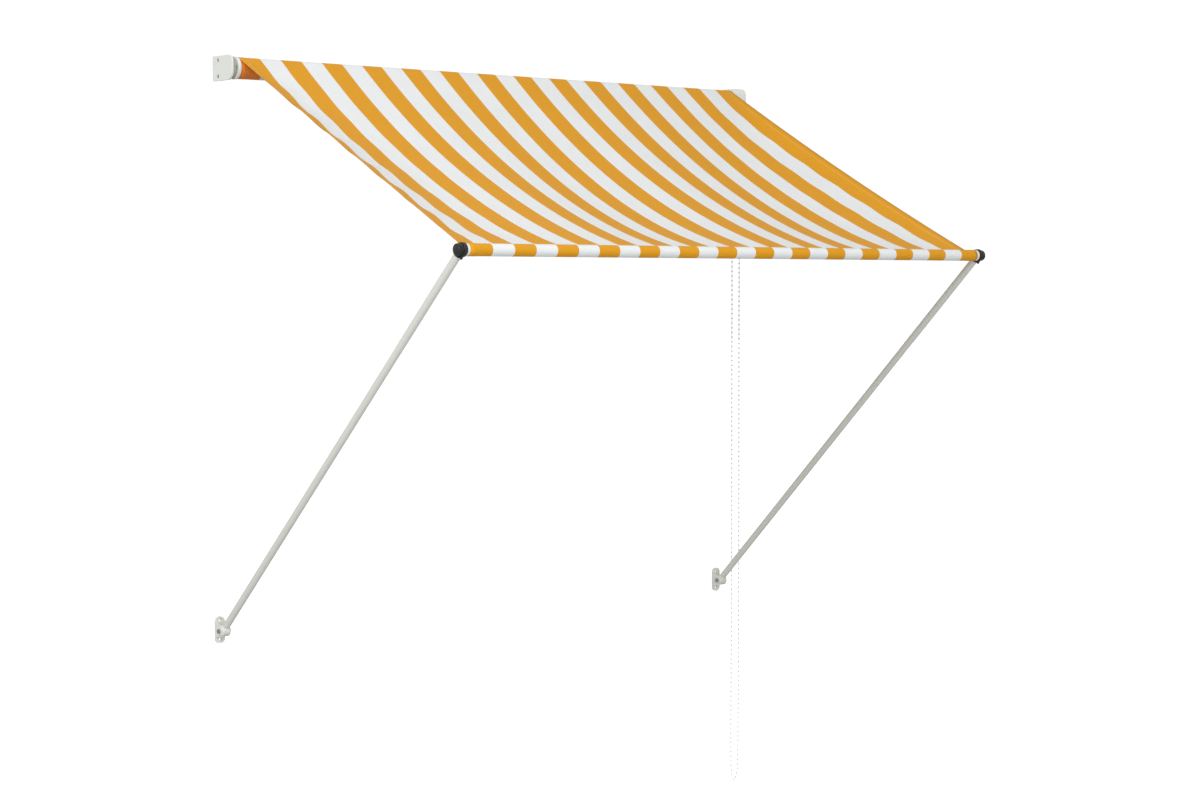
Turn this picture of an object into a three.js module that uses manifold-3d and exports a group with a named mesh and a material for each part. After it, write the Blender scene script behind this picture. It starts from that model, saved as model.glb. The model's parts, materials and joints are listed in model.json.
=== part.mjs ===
// A drop-arm roller awning: a striped cloth pays out over the top of a wall-hung roller, a front bar
// in the cloth's hem carries its far edge, and two tube arms hinged on wall feet hold the bar out.
// An endless bead chain turns the roller. Millimetres, +Z up, the wall is the plane Y = 0, and the
// awning stands out of it towards -Y. Inside, X = 0 is the middle of the cloth and Z = 0 the roller's
// axis; the exported group is shifted so that its origin is the back face of the left wall base.
import * as THREE from 'three';
import { mergeVertices } from 'three/addons/utils/BufferGeometryUtils.js';
import Module from 'manifold-3d';

// ---------------------------------------------------------------- driving dimensions
const GAP = 0.3; // clearance kept between faces that meet
const ROUND = 24; // sides on a large round
const SMALL_ROUND = 12; // sides on a small round

const CLOTH_LEFT = -728.7;
const CLOTH_RIGHT = 727.4;
const CLOTH_HALF = 728;
const STRIPE_YELLOW = 0xe0a032;

const ROLLER_Y = -62;
const ROLL_RADIUS = 22.8; // cloth still wound on the tube
const ROLLER_TUBE_RADIUS = 19;
const ROLLER_TUBE_WALL = 1.2;
const FLANGE_RADIUS = 24.6;
const FLANGE_INNER = 730; // |X| where the end flanges start
const FLANGE_OUTER = 737;

const SHEET_THICKNESS = 1.2;
const SHEET_CLEAR = 0.4;
const SAG = 58.5; // how far the cloth hangs below a straight line between the roll and the bar
const SAG_BELLY = 7.4; // what the sag gains in the middle
const SAG_RIGHT_HEM = 10; // the left hem is taut
const BELLY_X = -30;
const BELLY_REACH = 260;
const HEM_REACH = 94; // how far from a hem the cloth takes to hang freely, half way to the bar
const HEM_REACH_AT_ENDS = 15; // and beside the roll and the bar
const SHEET_STEPS_ACROSS = 24;
const SHEET_STEPS_DOWN = 14;

const BRACKET_OUTER_LEFT = -750;
const BRACKET_OUTER_RIGHT = 770;
const CHEEK_THICKNESS = 5;
const BRACKET_TOP = 28;
const BRACKET_BOTTOM = -26;
const BRACKET_MIDDLE = (BRACKET_TOP + BRACKET_BOTTOM) / 2;
const LEFT_NOSE_Y = -78;
const RIGHT_NOSE_Y = -83;
const NOSE_TOP_ROUND = 16;
const NOSE_UNDER_ROUND = 18;
const SIDE_SCREW_Y = -22;
const SIDE_SCREW_SPACING = 35;
const SIDE_SCREW_HOLE = 2.1;
const SIDE_SCREW_SEAT = 3.8;
const SIDE_SCREW_SEAT_DEPTH = 2.3;
const SIDE_SCREW_HEAD = 3.4;
const SIDE_SCREW_SHANK = 1.7;
const PIN_RADIUS = 5;

const WALL_FLANGE_THICKNESS = 4;
const WALL_LUG_THICKNESS = 6;
const WALL_LUG_FRONT_Y = -33;
const LEFT_BASE_INNER = -729;
const RIGHT_BASE_INNER = 740;
const WALL_HOLE_RADIUS = 2.8;
const WALL_HOLE_SPACING = 30;

const CHAIN_X = 755;
const CHAIN_RADIUS = 2.25;
const CHAIN_POCKETS = 7;
const CHAIN_PITCH_RADIUS = 13.4; // seven beads of the 12 mm chain around the wheel

const ARM_X = 743;
const PIVOT_Y = -24;
const PIVOT_Z = -1227;
const ARM_LENGTH = 1194; // pivot to the front bar's axis, along the arm
const ARM_OFFSET = 3.9; // the tube's axis passes this far on the wall side of the pivot
const ARM_LEAN = THREE.MathUtils.degToRad(46.43); // from vertical
const ARM_RADIUS = 8;
const ARM_WALL = 1.1;
const KNUCKLE_RADIUS = 12;

const FOOT_WIDTH = 24;
const FOOT_HEIGHT = 60;
const FOOT_THICKNESS = 5;
const FOOT_END_ROUND = 11.5;
const FOOT_HOLE_SPACING = 41;
const COUNTERSINK_RADIUS = 4.4;
const COUNTERSINK_FLOOR = 1.4; // below the plate's front
const EAR_RADIUS = 12.5;
const EAR_FROM = -14; // the ear's faces, from the middle of the arm
const EAR_TO = -8;
const BOLT_RADIUS = 3;

const BAR_RADIUS = 11;
const BAR_WALL = 1.1;
const HEM_RADIUS = 12.5;
const HUB_RADIUS = 14.5;
const HUB_OUTER_RADIUS = 12.4;
const LUG_REACH = 20;

// ---------------------------------------------------------------- where the front bar hangs
const BAR_Y = PIVOT_Y - ARM_LENGTH * Math.sin(ARM_LEAN) + ARM_OFFSET * Math.cos(ARM_LEAN);
const BAR_Z = PIVOT_Z + ARM_LENGTH * Math.cos(ARM_LEAN) + ARM_OFFSET * Math.sin(ARM_LEAN);

// ---------------------------------------------------------------- materials
function finish(color, roughness, metalness = 0) {
  return () => new THREE.MeshStandardMaterial({ color, roughness, metalness });
}
const whitePaint = finish(0xdfe1db, 0.45, 0.1);
const armPaint = finish(0xcfd1ca, 0.5, 0.1);
const whitePlastic = finish(0xe2e4e0, 0.5);
const blackPlastic = finish(0x1f1f21, 0.45);
const zincSteel = finish(0x9a9a98, 0.4, 0.9);
const bareAluminium = finish(0xb8babc, 0.35, 0.9);
const awningCloth = finish(STRIPE_YELLOW, 0.9);
const paleChain = finish(0xe6e8ea, 0.4);

// ---------------------------------------------------------------- solids
const wasm = await Module();
wasm.setup();

/** One closed solid from a three.js geometry, with its seams merged and its slivers dropped. */
function solid(geometry) {
  const bare = geometry.clone();
  bare.deleteAttribute('normal');
  bare.deleteAttribute('uv');
  const merged = mergeVertices(bare, 1e-4);
  const corners = merged.index.array;
  const triangles = [];
  for (let i = 0; i < corners.length; i += 3) {
    const [a, b, c] = [corners[i], corners[i + 1], corners[i + 2]];
    if (a !== b && b !== c && c !== a) triangles.push(a, b, c);
  }
  return new wasm.Manifold(new wasm.Mesh({
    numProp: 3,
    vertProperties: new Float32Array(merged.attributes.position.array),
    triVerts: new Uint32Array(triangles),
  }));
}

/** A three.js geometry from a solid. */
function geometryOf(body) {
  const mesh = body.getMesh();
  const geometry = new THREE.BufferGeometry();
  geometry.setAttribute('position', new THREE.BufferAttribute(mesh.vertProperties, 3));
  geometry.setIndex(new THREE.BufferAttribute(mesh.triVerts, 1));
  geometry.computeVertexNormals();
  return geometry;
}

function join(...pieces) {
  return pieces.reduce((whole, piece) => whole.add(piece));
}

function cut(whole, ...tools) {
  return tools.reduce((rest, tool) => rest.subtract(tool), whole);
}

/** A round bar along X from x0 to x1, with its axis at (y, z). */
function rodX(radius, x0, x1, y = 0, z = 0, sides = ROUND) {
  const rod = new THREE.CylinderGeometry(radius, radius, Math.abs(x1 - x0), sides);
  return solid(rod.rotateZ(Math.PI / 2).translate((x0 + x1) / 2, y, z));
}

/** A round bar along Z from z0 to z1, with its axis at (x, y). */
function rodZ(radius, z0, z1, x = 0, y = 0, sides = ROUND) {
  const rod = new THREE.CylinderGeometry(radius, radius, z1 - z0, sides);
  return solid(rod.rotateX(Math.PI / 2).translate(x, y, (z0 + z1) / 2));
}

/** A round bar along Y from y0 to y1, with its axis at (x, z). */
function rodY(radius, y0, y1, x, z, sides = SMALL_ROUND) {
  const rod = new THREE.CylinderGeometry(radius, radius, y1 - y0, sides);
  return solid(rod.translate(x, (y0 + y1) / 2, z));
}

function block(x0, x1, y0, y1, z0, z1) {
  const box = new THREE.BoxGeometry(Math.abs(x1 - x0), Math.abs(y1 - y0), Math.abs(z1 - z0));
  return solid(box.translate((x0 + x1) / 2, (y0 + y1) / 2, (z0 + z1) / 2));
}

const OUTLINE_TO_X = new THREE.Matrix4().makeBasis(
  new THREE.Vector3(0, 1, 0),
  new THREE.Vector3(0, 0, 1),
  new THREE.Vector3(1, 0, 0),
);

/** A plate from x0 to x1 whose outline is drawn in Y and Z. */
function plateX(outline, x0, x1, curveSegments = 6) {
  const from = Math.min(x0, x1);
  const depth = Math.abs(x1 - x0);
  const plate = new THREE.ExtrudeGeometry(outline, { depth, bevelEnabled: false, curveSegments });
  return solid(plate.applyMatrix4(OUTLINE_TO_X).translate(from, 0, 0));
}

const OUTLINE_TO_Y = new THREE.Matrix4().makeBasis(
  new THREE.Vector3(1, 0, 0),
  new THREE.Vector3(0, 0, 1),
  new THREE.Vector3(0, -1, 0),
);

/** A plate standing on the wall, as thick as depth, whose outline is drawn in X and Z. */
function plateY(outline, depth) {
  const plate = new THREE.ExtrudeGeometry(outline, { depth, bevelEnabled: false, curveSegments: 4 });
  return solid(plate.applyMatrix4(OUTLINE_TO_Y));
}

function roundedRectangle(x0, x1, y0, y1, radius) {
  const shape = new THREE.Shape();
  shape.moveTo(x0 + radius, y0);
  shape.lineTo(x1 - radius, y0);
  shape.absarc(x1 - radius, y0 + radius, radius, -Math.PI / 2, 0);
  shape.absarc(x1 - radius, y1 - radius, radius, 0, Math.PI / 2);
  shape.absarc(x0 + radius, y1 - radius, radius, Math.PI / 2, Math.PI);
  shape.absarc(x0 + radius, y0 + radius, radius, Math.PI, 1.5 * Math.PI);
  return shape;
}

// ---------------------------------------------------------------- the group
const awning = new THREE.Group();

/** Adds a named piece, made from a solid, to a group. */
function add(group, name, material, body) {
  const mesh = new THREE.Mesh(geometryOf(body), material());
  mesh.name = name;
  group.add(mesh);
}

// ---------------------------------------------------------------- roller brackets
/** The side outline of a bracket: square at the wall, a rounded nose in front of the roller. */
function bracketOutline(noseY, backY = 0) {
  const [top, under] = [NOSE_TOP_ROUND, NOSE_UNDER_ROUND];
  const shape = new THREE.Shape();
  shape.moveTo(backY, BRACKET_BOTTOM);
  shape.lineTo(backY, BRACKET_TOP);
  shape.lineTo(noseY + top, BRACKET_TOP);
  shape.absarc(noseY + top, BRACKET_TOP - top, top, Math.PI / 2, Math.PI);
  shape.lineTo(noseY, BRACKET_BOTTOM + under);
  shape.absarc(noseY + under, BRACKET_BOTTOM + under, under, Math.PI, 1.5 * Math.PI);
  return shape;
}

const sideScrewHeights = [-1, 1].map((s) => BRACKET_MIDDLE + (s * SIDE_SCREW_SPACING) / 2);

/** The wall base, its cheek and the cheek's two screws, on one side of the roller. */
function addBracket(name, side, outerX, noseY, baseInner) {
  const cheekInner = outerX - side * CHEEK_THICKNESS;
  const lugOuter = cheekInner - side * GAP;
  const lugInner = lugOuter - side * WALL_LUG_THICKNESS;
  const headSeat = outerX - side * SIDE_SCREW_SEAT_DEPTH;
  const [low, high] = [BRACKET_BOTTOM + 2, BRACKET_TOP - 2];

  const base = join(
    block(baseInner, lugOuter, -WALL_FLANGE_THICKNESS, 0, low, high),
    block(lugInner, lugOuter, WALL_LUG_FRONT_Y, -WALL_FLANGE_THICKNESS / 2, low, high),
  );
  const holeX = (baseInner + lugInner) / 2;
  const wallHoles = [-1, 1].map((s) => rodY(
    WALL_HOLE_RADIUS, -10, 5, holeX, BRACKET_MIDDLE + (s * WALL_HOLE_SPACING) / 2,
  ));
  const lugHoles = sideScrewHeights.map((z) => rodX(
    SIDE_SCREW_HOLE, lugInner - side * 5, lugOuter + side * 5, SIDE_SCREW_Y, z, SMALL_ROUND,
  ));
  add(awning, `${name}_wall_base`, whitePaint, cut(base, ...wallHoles, ...lugHoles));

  const cheek = plateX(bracketOutline(noseY), cheekInner, outerX);
  const seats = sideScrewHeights.map((z) => join(
    rodX(SIDE_SCREW_HOLE, cheekInner - side * 5, outerX + side * 5, SIDE_SCREW_Y, z, SMALL_ROUND),
    rodX(SIDE_SCREW_SEAT, headSeat, outerX + side * 5, SIDE_SCREW_Y, z, SMALL_ROUND),
  ));
  const pinSeat = rodX(PIN_RADIUS + GAP, cheekInner - side * 5, outerX - side, ROLLER_Y, 0);
  add(awning, `${name}_side_cheek`, whitePaint, cut(cheek, ...seats, pinSeat));

  sideScrewHeights.forEach((z, i) => {
    add(awning, `${name}_side_screw_${i + 1}`, zincSteel, join(
      rodX(SIDE_SCREW_SHANK, lugInner, outerX - side, SIDE_SCREW_Y, z, SMALL_ROUND),
      rodX(SIDE_SCREW_HEAD, headSeat + side * GAP, outerX - side * GAP, SIDE_SCREW_Y, z, SMALL_ROUND),
    ));
  });
}

addBracket('left', -1, BRACKET_OUTER_LEFT, LEFT_NOSE_Y, LEFT_BASE_INNER);
addBracket('right', 1, BRACKET_OUTER_RIGHT, RIGHT_NOSE_Y, RIGHT_BASE_INNER);

// The roller turns on a pin at its left end.
add(awning, 'bearing_pin', zincSteel, rodX(PIN_RADIUS, BRACKET_OUTER_LEFT + 1.4, -706, ROLLER_Y, 0));

// ---------------------------------------------------------------- chain drive
const HOUSING_INNER = 738;
const HOUSING_OUTER = BRACKET_OUTER_RIGHT - CHEEK_THICKNESS - GAP;
const HOUSING_BACK_Y = -36;

function addDriveHousing() {
  const shell = plateX(bracketOutline(RIGHT_NOSE_Y, HOUSING_BACK_Y), HOUSING_INNER, HOUSING_OUTER);
  const cavity = rodX(17.6, HOUSING_INNER + 3, HOUSING_OUTER + 5, ROLLER_Y, 0);
  const mouth = rodX(13, HOUSING_INNER - 5, HOUSING_INNER + 5, ROLLER_Y, 0);
  const chainSlots = [-1, 1].map((s) => {
    const y = ROLLER_Y + s * CHAIN_PITCH_RADIUS;
    return block(CHAIN_X - 3.6, CHAIN_X + 3.6, y - 3.4, y + 3.4, BRACKET_BOTTOM - 5, -6);
  });
  add(awning, 'drive_housing', whitePlastic, cut(shell, cavity, mouth, ...chainSlots));
}
addDriveHousing();

add(awning, 'clutch_core', whitePlastic, join(
  rodX(7, 702, HOUSING_OUTER, ROLLER_Y, 0),
  rodX(12, 761.2, HOUSING_OUTER, ROLLER_Y, 0),
));

/** The wrap spring that grips the clutch core and holds the roller where it is left. */
function addBrakeSpring() {
  const turns = 5;
  const helixRadius = 8.5;
  const from = 704;
  const to = 722;
  class Helix extends THREE.Curve {
    getPoint(t) {
      const angle = 2 * Math.PI * turns * t;
      const y = ROLLER_Y + helixRadius * Math.cos(angle);
      return new THREE.Vector3(from + (to - from) * t, y, helixRadius * Math.sin(angle));
    }
  }
  const wire = new THREE.Shape();
  wire.absarc(0, 0, 0.8, 0, 2 * Math.PI);
  const coil = new THREE.ExtrudeGeometry(wire, {
    steps: 10 * turns, curveSegments: 3, bevelEnabled: false, extrudePath: new Helix(),
  });
  add(awning, 'brake_spring', zincSteel, solid(coil));
}
addBrakeSpring();

// ---------------------------------------------------------------- roller
const PLUG_SPIGOT_RADIUS = ROLLER_TUBE_RADIUS - ROLLER_TUBE_WALL - GAP;

add(awning, 'roller_tube', bareAluminium, cut(
  rodX(ROLLER_TUBE_RADIUS, -FLANGE_INNER + GAP, FLANGE_INNER - GAP, ROLLER_Y, 0),
  rodX(ROLLER_TUBE_RADIUS - ROLLER_TUBE_WALL, -740, 740, ROLLER_Y, 0),
));

add(awning, 'roller_cloth', awningCloth, cut(
  rodX(ROLL_RADIUS, CLOTH_LEFT, CLOTH_RIGHT, ROLLER_Y, 0, 32),
  rodX(ROLLER_TUBE_RADIUS + GAP, -740, 740, ROLLER_Y, 0),
));

function addIdlePlug() {
  const neckOuter = BRACKET_OUTER_LEFT + CHEEK_THICKNESS + 0.8;
  const plug = join(
    rodX(20.5, neckOuter, -FLANGE_OUTER + 1, ROLLER_Y, 0),
    rodX(FLANGE_RADIUS, -FLANGE_OUTER, -FLANGE_INNER, ROLLER_Y, 0),
    rodX(PLUG_SPIGOT_RADIUS, -FLANGE_INNER - 1, -696, ROLLER_Y, 0),
  );
  const bore = rodX(5.4, neckOuter - 5, -690, ROLLER_Y, 0);
  const slots = [-1, 1].flatMap((s) => {
    const far = s * 24;
    const near = s * 17.5;
    return [
      block(-742.6, -739.4, ROLLER_Y + near, ROLLER_Y + far, -4.5, 4.5),
      block(-742.6, -739.4, ROLLER_Y - 4.5, ROLLER_Y + 4.5, near, far),
    ];
  });
  add(awning, 'idle_plug', whitePlastic, cut(plug, bore, ...slots));
}
addIdlePlug();

add(awning, 'drive_plug', whitePlastic, cut(
  join(
    rodX(FLANGE_RADIUS, FLANGE_INNER, FLANGE_OUTER, ROLLER_Y, 0),
    rodX(PLUG_SPIGOT_RADIUS, 696, FLANGE_INNER + 1, ROLLER_Y, 0),
  ),
  rodX(10.4, 690, 745, ROLLER_Y, 0),
));

function addChainWheel() {
  const wheel = join(
    rodX(10, 726, 742, ROLLER_Y, 0),
    rodX(12, 741, 752, ROLLER_Y, 0),
    rodX(15.2, CHAIN_X - 5, CHAIN_X + 5, ROLLER_Y, 0),
  );
  const pockets = Array.from({ length: CHAIN_POCKETS }, (_, i) => {
    const angle = (2 * Math.PI * i) / CHAIN_POCKETS;
    const bead = new THREE.SphereGeometry(2.7, 8, 5);
    const y = ROLLER_Y + CHAIN_PITCH_RADIUS * Math.cos(angle);
    return solid(bead.translate(CHAIN_X, y, CHAIN_PITCH_RADIUS * Math.sin(angle)));
  });
  const bore = rodX(7.4, 720, 770, ROLLER_Y, 0);
  add(awning, 'chain_wheel', whitePlastic, cut(wheel, bore, ...pockets));
}
addChainWheel();

// ---------------------------------------------------------------- bead chain
// The free run of the endless chain: out of the front slot, down, round its low bend and up again.
const CHAIN_EXIT_Z = BRACKET_BOTTOM - GAP;
const CHAIN_ROUTE = [
  [-75.4, CHAIN_EXIT_Z], [-75.4, -60], [-75.3, -150], [-75.1, -300], [-75.0, -500], [-75.2, -700],
  [-75.6, -900], [-76.0, -1100], [-76.2, -1300], [-75.8, -1480], [-75.0, -1600], [-73.8, -1680],
  [-71.4, -1716], [-66.6, -1734], [-60.0, -1740], [-53.8, -1734], [-50.0, -1717], [-48.6, -1682],
  [-48.2, -1600], [-48.6, -1480], [-49.2, -1300], [-49.4, -1100], [-49.2, -900], [-48.8, -700],
  [-48.6, -500], [-48.5, -300], [-48.6, -150], [-48.6, -60], [-48.6, CHAIN_EXIT_Z],
];

/** The route as one curve, stepped evenly between its points so that the low bend stays round. */
class ChainRun extends THREE.Curve {
  constructor() {
    super();
    const points = CHAIN_ROUTE.map(([y, z]) => new THREE.Vector3(CHAIN_X, y, z));
    this.line = new THREE.CatmullRomCurve3(points, false, 'centripetal');
  }

  getPoint(t) {
    return this.line.getPoint(t);
  }

  getPointAt(u) {
    return this.line.getPoint(u);
  }

  getTangentAt(u) {
    return this.line.getTangent(u);
  }
}

function addBeadChain() {
  const section = new THREE.Shape();
  section.absarc(0, 0, CHAIN_RADIUS, 0, 2 * Math.PI);
  const tube = new THREE.ExtrudeGeometry(section, {
    steps: 2 * (CHAIN_ROUTE.length - 1),
    curveSegments: 4,
    bevelEnabled: false,
    extrudePath: new ChainRun(),
  });
  add(awning, 'bead_chain', paleChain, solid(tube));
}
addBeadChain();

// ---------------------------------------------------------------- canopy
/** How far the cloth hangs below a straight line, at x across it and s of the way to the bar. */
function sag(x, s) {
  const bow = 4 * s * (1 - s);
  const towardsBar = 0.55 + 0.9 * s;
  const reach = HEM_REACH_AT_ENDS + (HEM_REACH - HEM_REACH_AT_ENDS) * bow * towardsBar;
  const leftHem = Math.exp((CLOTH_LEFT - x) / reach);
  const rightHem = Math.exp((x - CLOTH_RIGHT) / reach);
  const belly = SAG + SAG_BELLY * Math.exp(-(((x - BELLY_X) / BELLY_REACH) ** 2));
  return bow * (belly * (1 - leftHem) * (1 - rightHem) + SAG_RIGHT_HEM * rightHem);
}

/** The cloth's middle surface at x: it leaves the roll smoothly and ends in the seam behind the bar. */
function clothLine(x) {
  const step = 0.001;
  const [near, far] = [sag(x, step) / step, sag(x, 1 - step) / step];
  const roll = ROLL_RADIUS + SHEET_CLEAR + SHEET_THICKNESS / 2;
  const seam = HEM_RADIUS + SHEET_CLEAR;
  let start = [ROLLER_Y, roll];
  let end = [BAR_Y + seam, BAR_Z];
  for (let pass = 0; pass < 4; pass += 1) {
    const run = start[0] - end[0];
    const drop = start[1] - end[1];
    const leave = Math.atan((drop + near) / run);
    const meet = Math.atan((drop - far) / run);
    start = [ROLLER_Y - roll * Math.sin(leave), roll * Math.cos(leave)];
    end = [BAR_Y + seam * Math.cos(meet), BAR_Z + seam * Math.sin(meet)];
  }
  const run = start[0] - end[0];
  const drop = start[1] - end[1];
  return (s) => ({
    y: start[0] - run * s,
    z: start[1] - drop * s - sag(x, s),
    slope: (drop + (sag(x, s + step) - sag(x, s - step)) / (2 * step)) / run,
  });
}

/** A thin closed sheet between the roll and the front bar. */
function addCanopy() {
  const [nx, ns] = [SHEET_STEPS_ACROSS, SHEET_STEPS_DOWN];
  const positions = [];
  const layers = [1, -1];
  layers.forEach((side) => {
    for (let i = 0; i <= nx; i += 1) {
      const across = (1 - Math.cos((Math.PI * i) / nx)) / 2; // finer towards the hems
      const x = CLOTH_LEFT + across * (CLOTH_RIGHT - CLOTH_LEFT);
      const line = clothLine(x);
      for (let j = 0; j <= ns; j += 1) {
        const { y, z, slope } = line(j / ns);
        const tilt = Math.atan(slope);
        const half = (side * SHEET_THICKNESS) / 2;
        positions.push(x, y - half * Math.sin(tilt), z + half * Math.cos(tilt));
      }
    }
  });
  const at = (layer, i, j) => (layer * (nx + 1) + i) * (ns + 1) + j;
  const index = [];
  const quad = (a, b, c, d) => index.push(a, b, c, a, c, d);
  for (let i = 0; i < nx; i += 1) {
    for (let j = 0; j < ns; j += 1) {
      quad(at(0, i, j), at(0, i, j + 1), at(0, i + 1, j + 1), at(0, i + 1, j));
      quad(at(1, i, j), at(1, i + 1, j), at(1, i + 1, j + 1), at(1, i, j + 1));
    }
    quad(at(0, i, 0), at(0, i + 1, 0), at(1, i + 1, 0), at(1, i, 0));
    quad(at(0, i, ns), at(1, i, ns), at(1, i + 1, ns), at(0, i + 1, ns));
  }
  for (let j = 0; j < ns; j += 1) {
    quad(at(0, 0, j), at(1, 0, j), at(1, 0, j + 1), at(0, 0, j + 1));
    quad(at(0, nx, j), at(0, nx, j + 1), at(1, nx, j + 1), at(1, nx, j));
  }
  const sheet = new THREE.BufferGeometry();
  sheet.setAttribute('position', new THREE.Float32BufferAttribute(positions, 3));
  sheet.setIndex(index);
  add(awning, 'canopy', awningCloth, solid(sheet));
}
addCanopy();

// ---------------------------------------------------------------- feet
/** A cast wall foot: an upright plate with one round ear for the arm's pivot bolt. */
function addFoot(name, armX) {
  const foot = new THREE.Group();
  foot.position.set(armX, 0, PIVOT_Z);
  awning.add(foot);

  const half = FOOT_HEIGHT / 2;
  const plate = plateY(
    roundedRectangle(-FOOT_WIDTH / 2, FOOT_WIDTH / 2, -half, half, FOOT_END_ROUND),
    FOOT_THICKNESS,
  );
  const earOutline = new THREE.Shape();
  earOutline.moveTo(-1, -EAR_RADIUS - 4);
  earOutline.lineTo(-1, EAR_RADIUS + 4);
  earOutline.lineTo(-FOOT_THICKNESS, EAR_RADIUS + 4);
  earOutline.absarc(PIVOT_Y, 0, EAR_RADIUS, Math.PI * 0.4, Math.PI * 1.6);
  earOutline.lineTo(-FOOT_THICKNESS, -EAR_RADIUS - 4);
  const ear = plateX(earOutline, EAR_FROM + 2, EAR_TO, 16);
  const boss = rodX(9, EAR_FROM, EAR_FROM + 3, PIVOT_Y, 0);
  const screwHoles = [-1, 1].map((s) => join(
    rodY(WALL_HOLE_RADIUS, -20, 5, 0, (s * FOOT_HOLE_SPACING) / 2),
    rodY(COUNTERSINK_RADIUS, -20, COUNTERSINK_FLOOR - FOOT_THICKNESS, 0, (s * FOOT_HOLE_SPACING) / 2),
  ));
  const boltHole = rodX(BOLT_RADIUS + GAP, EAR_FROM - 5, EAR_TO + 5, PIVOT_Y, 0, SMALL_ROUND);
  add(foot, `${name}_foot`, whitePaint, cut(join(plate, ear, boss), ...screwHoles, boltHole));

  const head = rodX(5.4, EAR_FROM - 3.9, EAR_FROM - GAP, PIVOT_Y, 0, 6);
  const shank = rodX(BOLT_RADIUS, EAR_FROM - 1, 14, PIVOT_Y, 0, SMALL_ROUND);
  add(foot, `${name}_pivot_bolt`, zincSteel, join(head, shank));

  add(foot, `${name}_pivot_nut`, zincSteel, cut(
    rodX(5.4, 8 + GAP, 13, PIVOT_Y, 0, 6),
    rodX(BOLT_RADIUS + GAP, 0, 20, PIVOT_Y, 0, SMALL_ROUND),
  ));
}

// ---------------------------------------------------------------- arms
/** One arm: knuckle, tube and the black hub that holds the front bar, leaning out from its pivot. */
function addArm(name, side) {
  const arm = new THREE.Group();
  arm.position.set(side * ARM_X, PIVOT_Y, PIVOT_Z);
  arm.rotation.x = ARM_LEAN;
  awning.add(arm);

  const tubeFrom = KNUCKLE_RADIUS + 3;
  const tubeTo = ARM_LENGTH - HUB_RADIUS - 1;
  const neckTop = ARM_LENGTH - HEM_RADIUS - GAP;
  const spigotRadius = ARM_RADIUS - ARM_WALL - GAP;
  add(arm, `${name}_arm_tube`, armPaint, cut(
    rodZ(ARM_RADIUS, tubeFrom, tubeTo, 0, ARM_OFFSET),
    rodZ(ARM_RADIUS - ARM_WALL, tubeFrom - 5, tubeTo + 5, 0, ARM_OFFSET),
  ));

  const knuckle = join(
    rodX(KNUCKLE_RADIUS, EAR_TO + GAP, 8, 0, 0),
    rodZ(ARM_RADIUS - 0.6, 0, tubeFrom - GAP, 0, ARM_OFFSET),
    rodZ(spigotRadius, 5, tubeFrom + 28, 0, ARM_OFFSET),
  );
  const boltHole = rodX(BOLT_RADIUS + GAP, -15, 15, 0, 0, SMALL_ROUND);
  add(arm, `${name}_arm_knuckle`, armPaint, cut(knuckle, boltHole));

  const hubCentre = [ARM_OFFSET, ARM_LENGTH];
  const [hubY, hubZ] = hubCentre;
  const lug = new THREE.Shape();
  const down = -Math.PI / 2 - ARM_LEAN; // straight down, seen in the leaning arm's own axes
  const spread = 0.95;
  const lugRoot = 12;
  lug.moveTo(
    hubY + lugRoot * Math.cos(down - spread), hubZ + lugRoot * Math.sin(down - spread),
  );
  lug.lineTo(hubY + LUG_REACH * Math.cos(down), hubZ + LUG_REACH * Math.sin(down));
  lug.lineTo(
    hubY + lugRoot * Math.cos(down + spread), hubZ + lugRoot * Math.sin(down + spread),
  );
  lug.lineTo(hubY, hubZ);
  const hub = join(
    rodX(HUB_RADIUS, -side * 6, side * 2, hubY, hubZ),
    rodX(HUB_OUTER_RADIUS, side, side * 8, hubY, hubZ),
    plateX(lug, -side * 2, side * 2),
    rodZ(ARM_RADIUS - 0.6, tubeTo + GAP, neckTop, 0, ARM_OFFSET),
    rodZ(spigotRadius, tubeTo - 28, neckTop, 0, ARM_OFFSET),
  );
  const journalBore = rodX(6.3, -side * 10, side * 4, hubY, hubZ);
  const headRoom = rodX(9, side * 3.4, side * 12, hubY, hubZ);
  add(arm, `${name}_hub`, blackPlastic, cut(hub, journalBore, headRoom));

  const cap = new THREE.LatheGeometry([
    new THREE.Vector2(0, 0),
    new THREE.Vector2(11.6, 0),
    new THREE.Vector2(12, 2.4),
    new THREE.Vector2(10.6, 4),
    new THREE.Vector2(5, 4.8),
    new THREE.Vector2(0, 5),
  ], ROUND);
  cap.rotateZ(-side * (Math.PI / 2)).translate(side * 8.3, hubY, hubZ);
  add(arm, `${name}_hub_cap`, blackPlastic, solid(cap));
}

const SIDES = { left: -1, right: 1 };
Object.entries(SIDES).forEach(([name, side]) => {
  addFoot(name, side * ARM_X);
  addArm(name, side);
});

// ---------------------------------------------------------------- front bar
const bar = new THREE.Group();
bar.position.set(0, BAR_Y, BAR_Z);
awning.add(bar);

add(bar, 'front_bar_tube', bareAluminium, cut(
  rodX(BAR_RADIUS, CLOTH_LEFT, CLOTH_HALF + 0.7, 0, 0),
  rodX(BAR_RADIUS - BAR_WALL, -740, 740, 0, 0),
));
add(bar, 'hem_sleeve', awningCloth, cut(
  rodX(HEM_RADIUS, CLOTH_LEFT, CLOTH_RIGHT, 0, 0),
  rodX(BAR_RADIUS + GAP, -740, 740, 0, 0),
));

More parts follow.
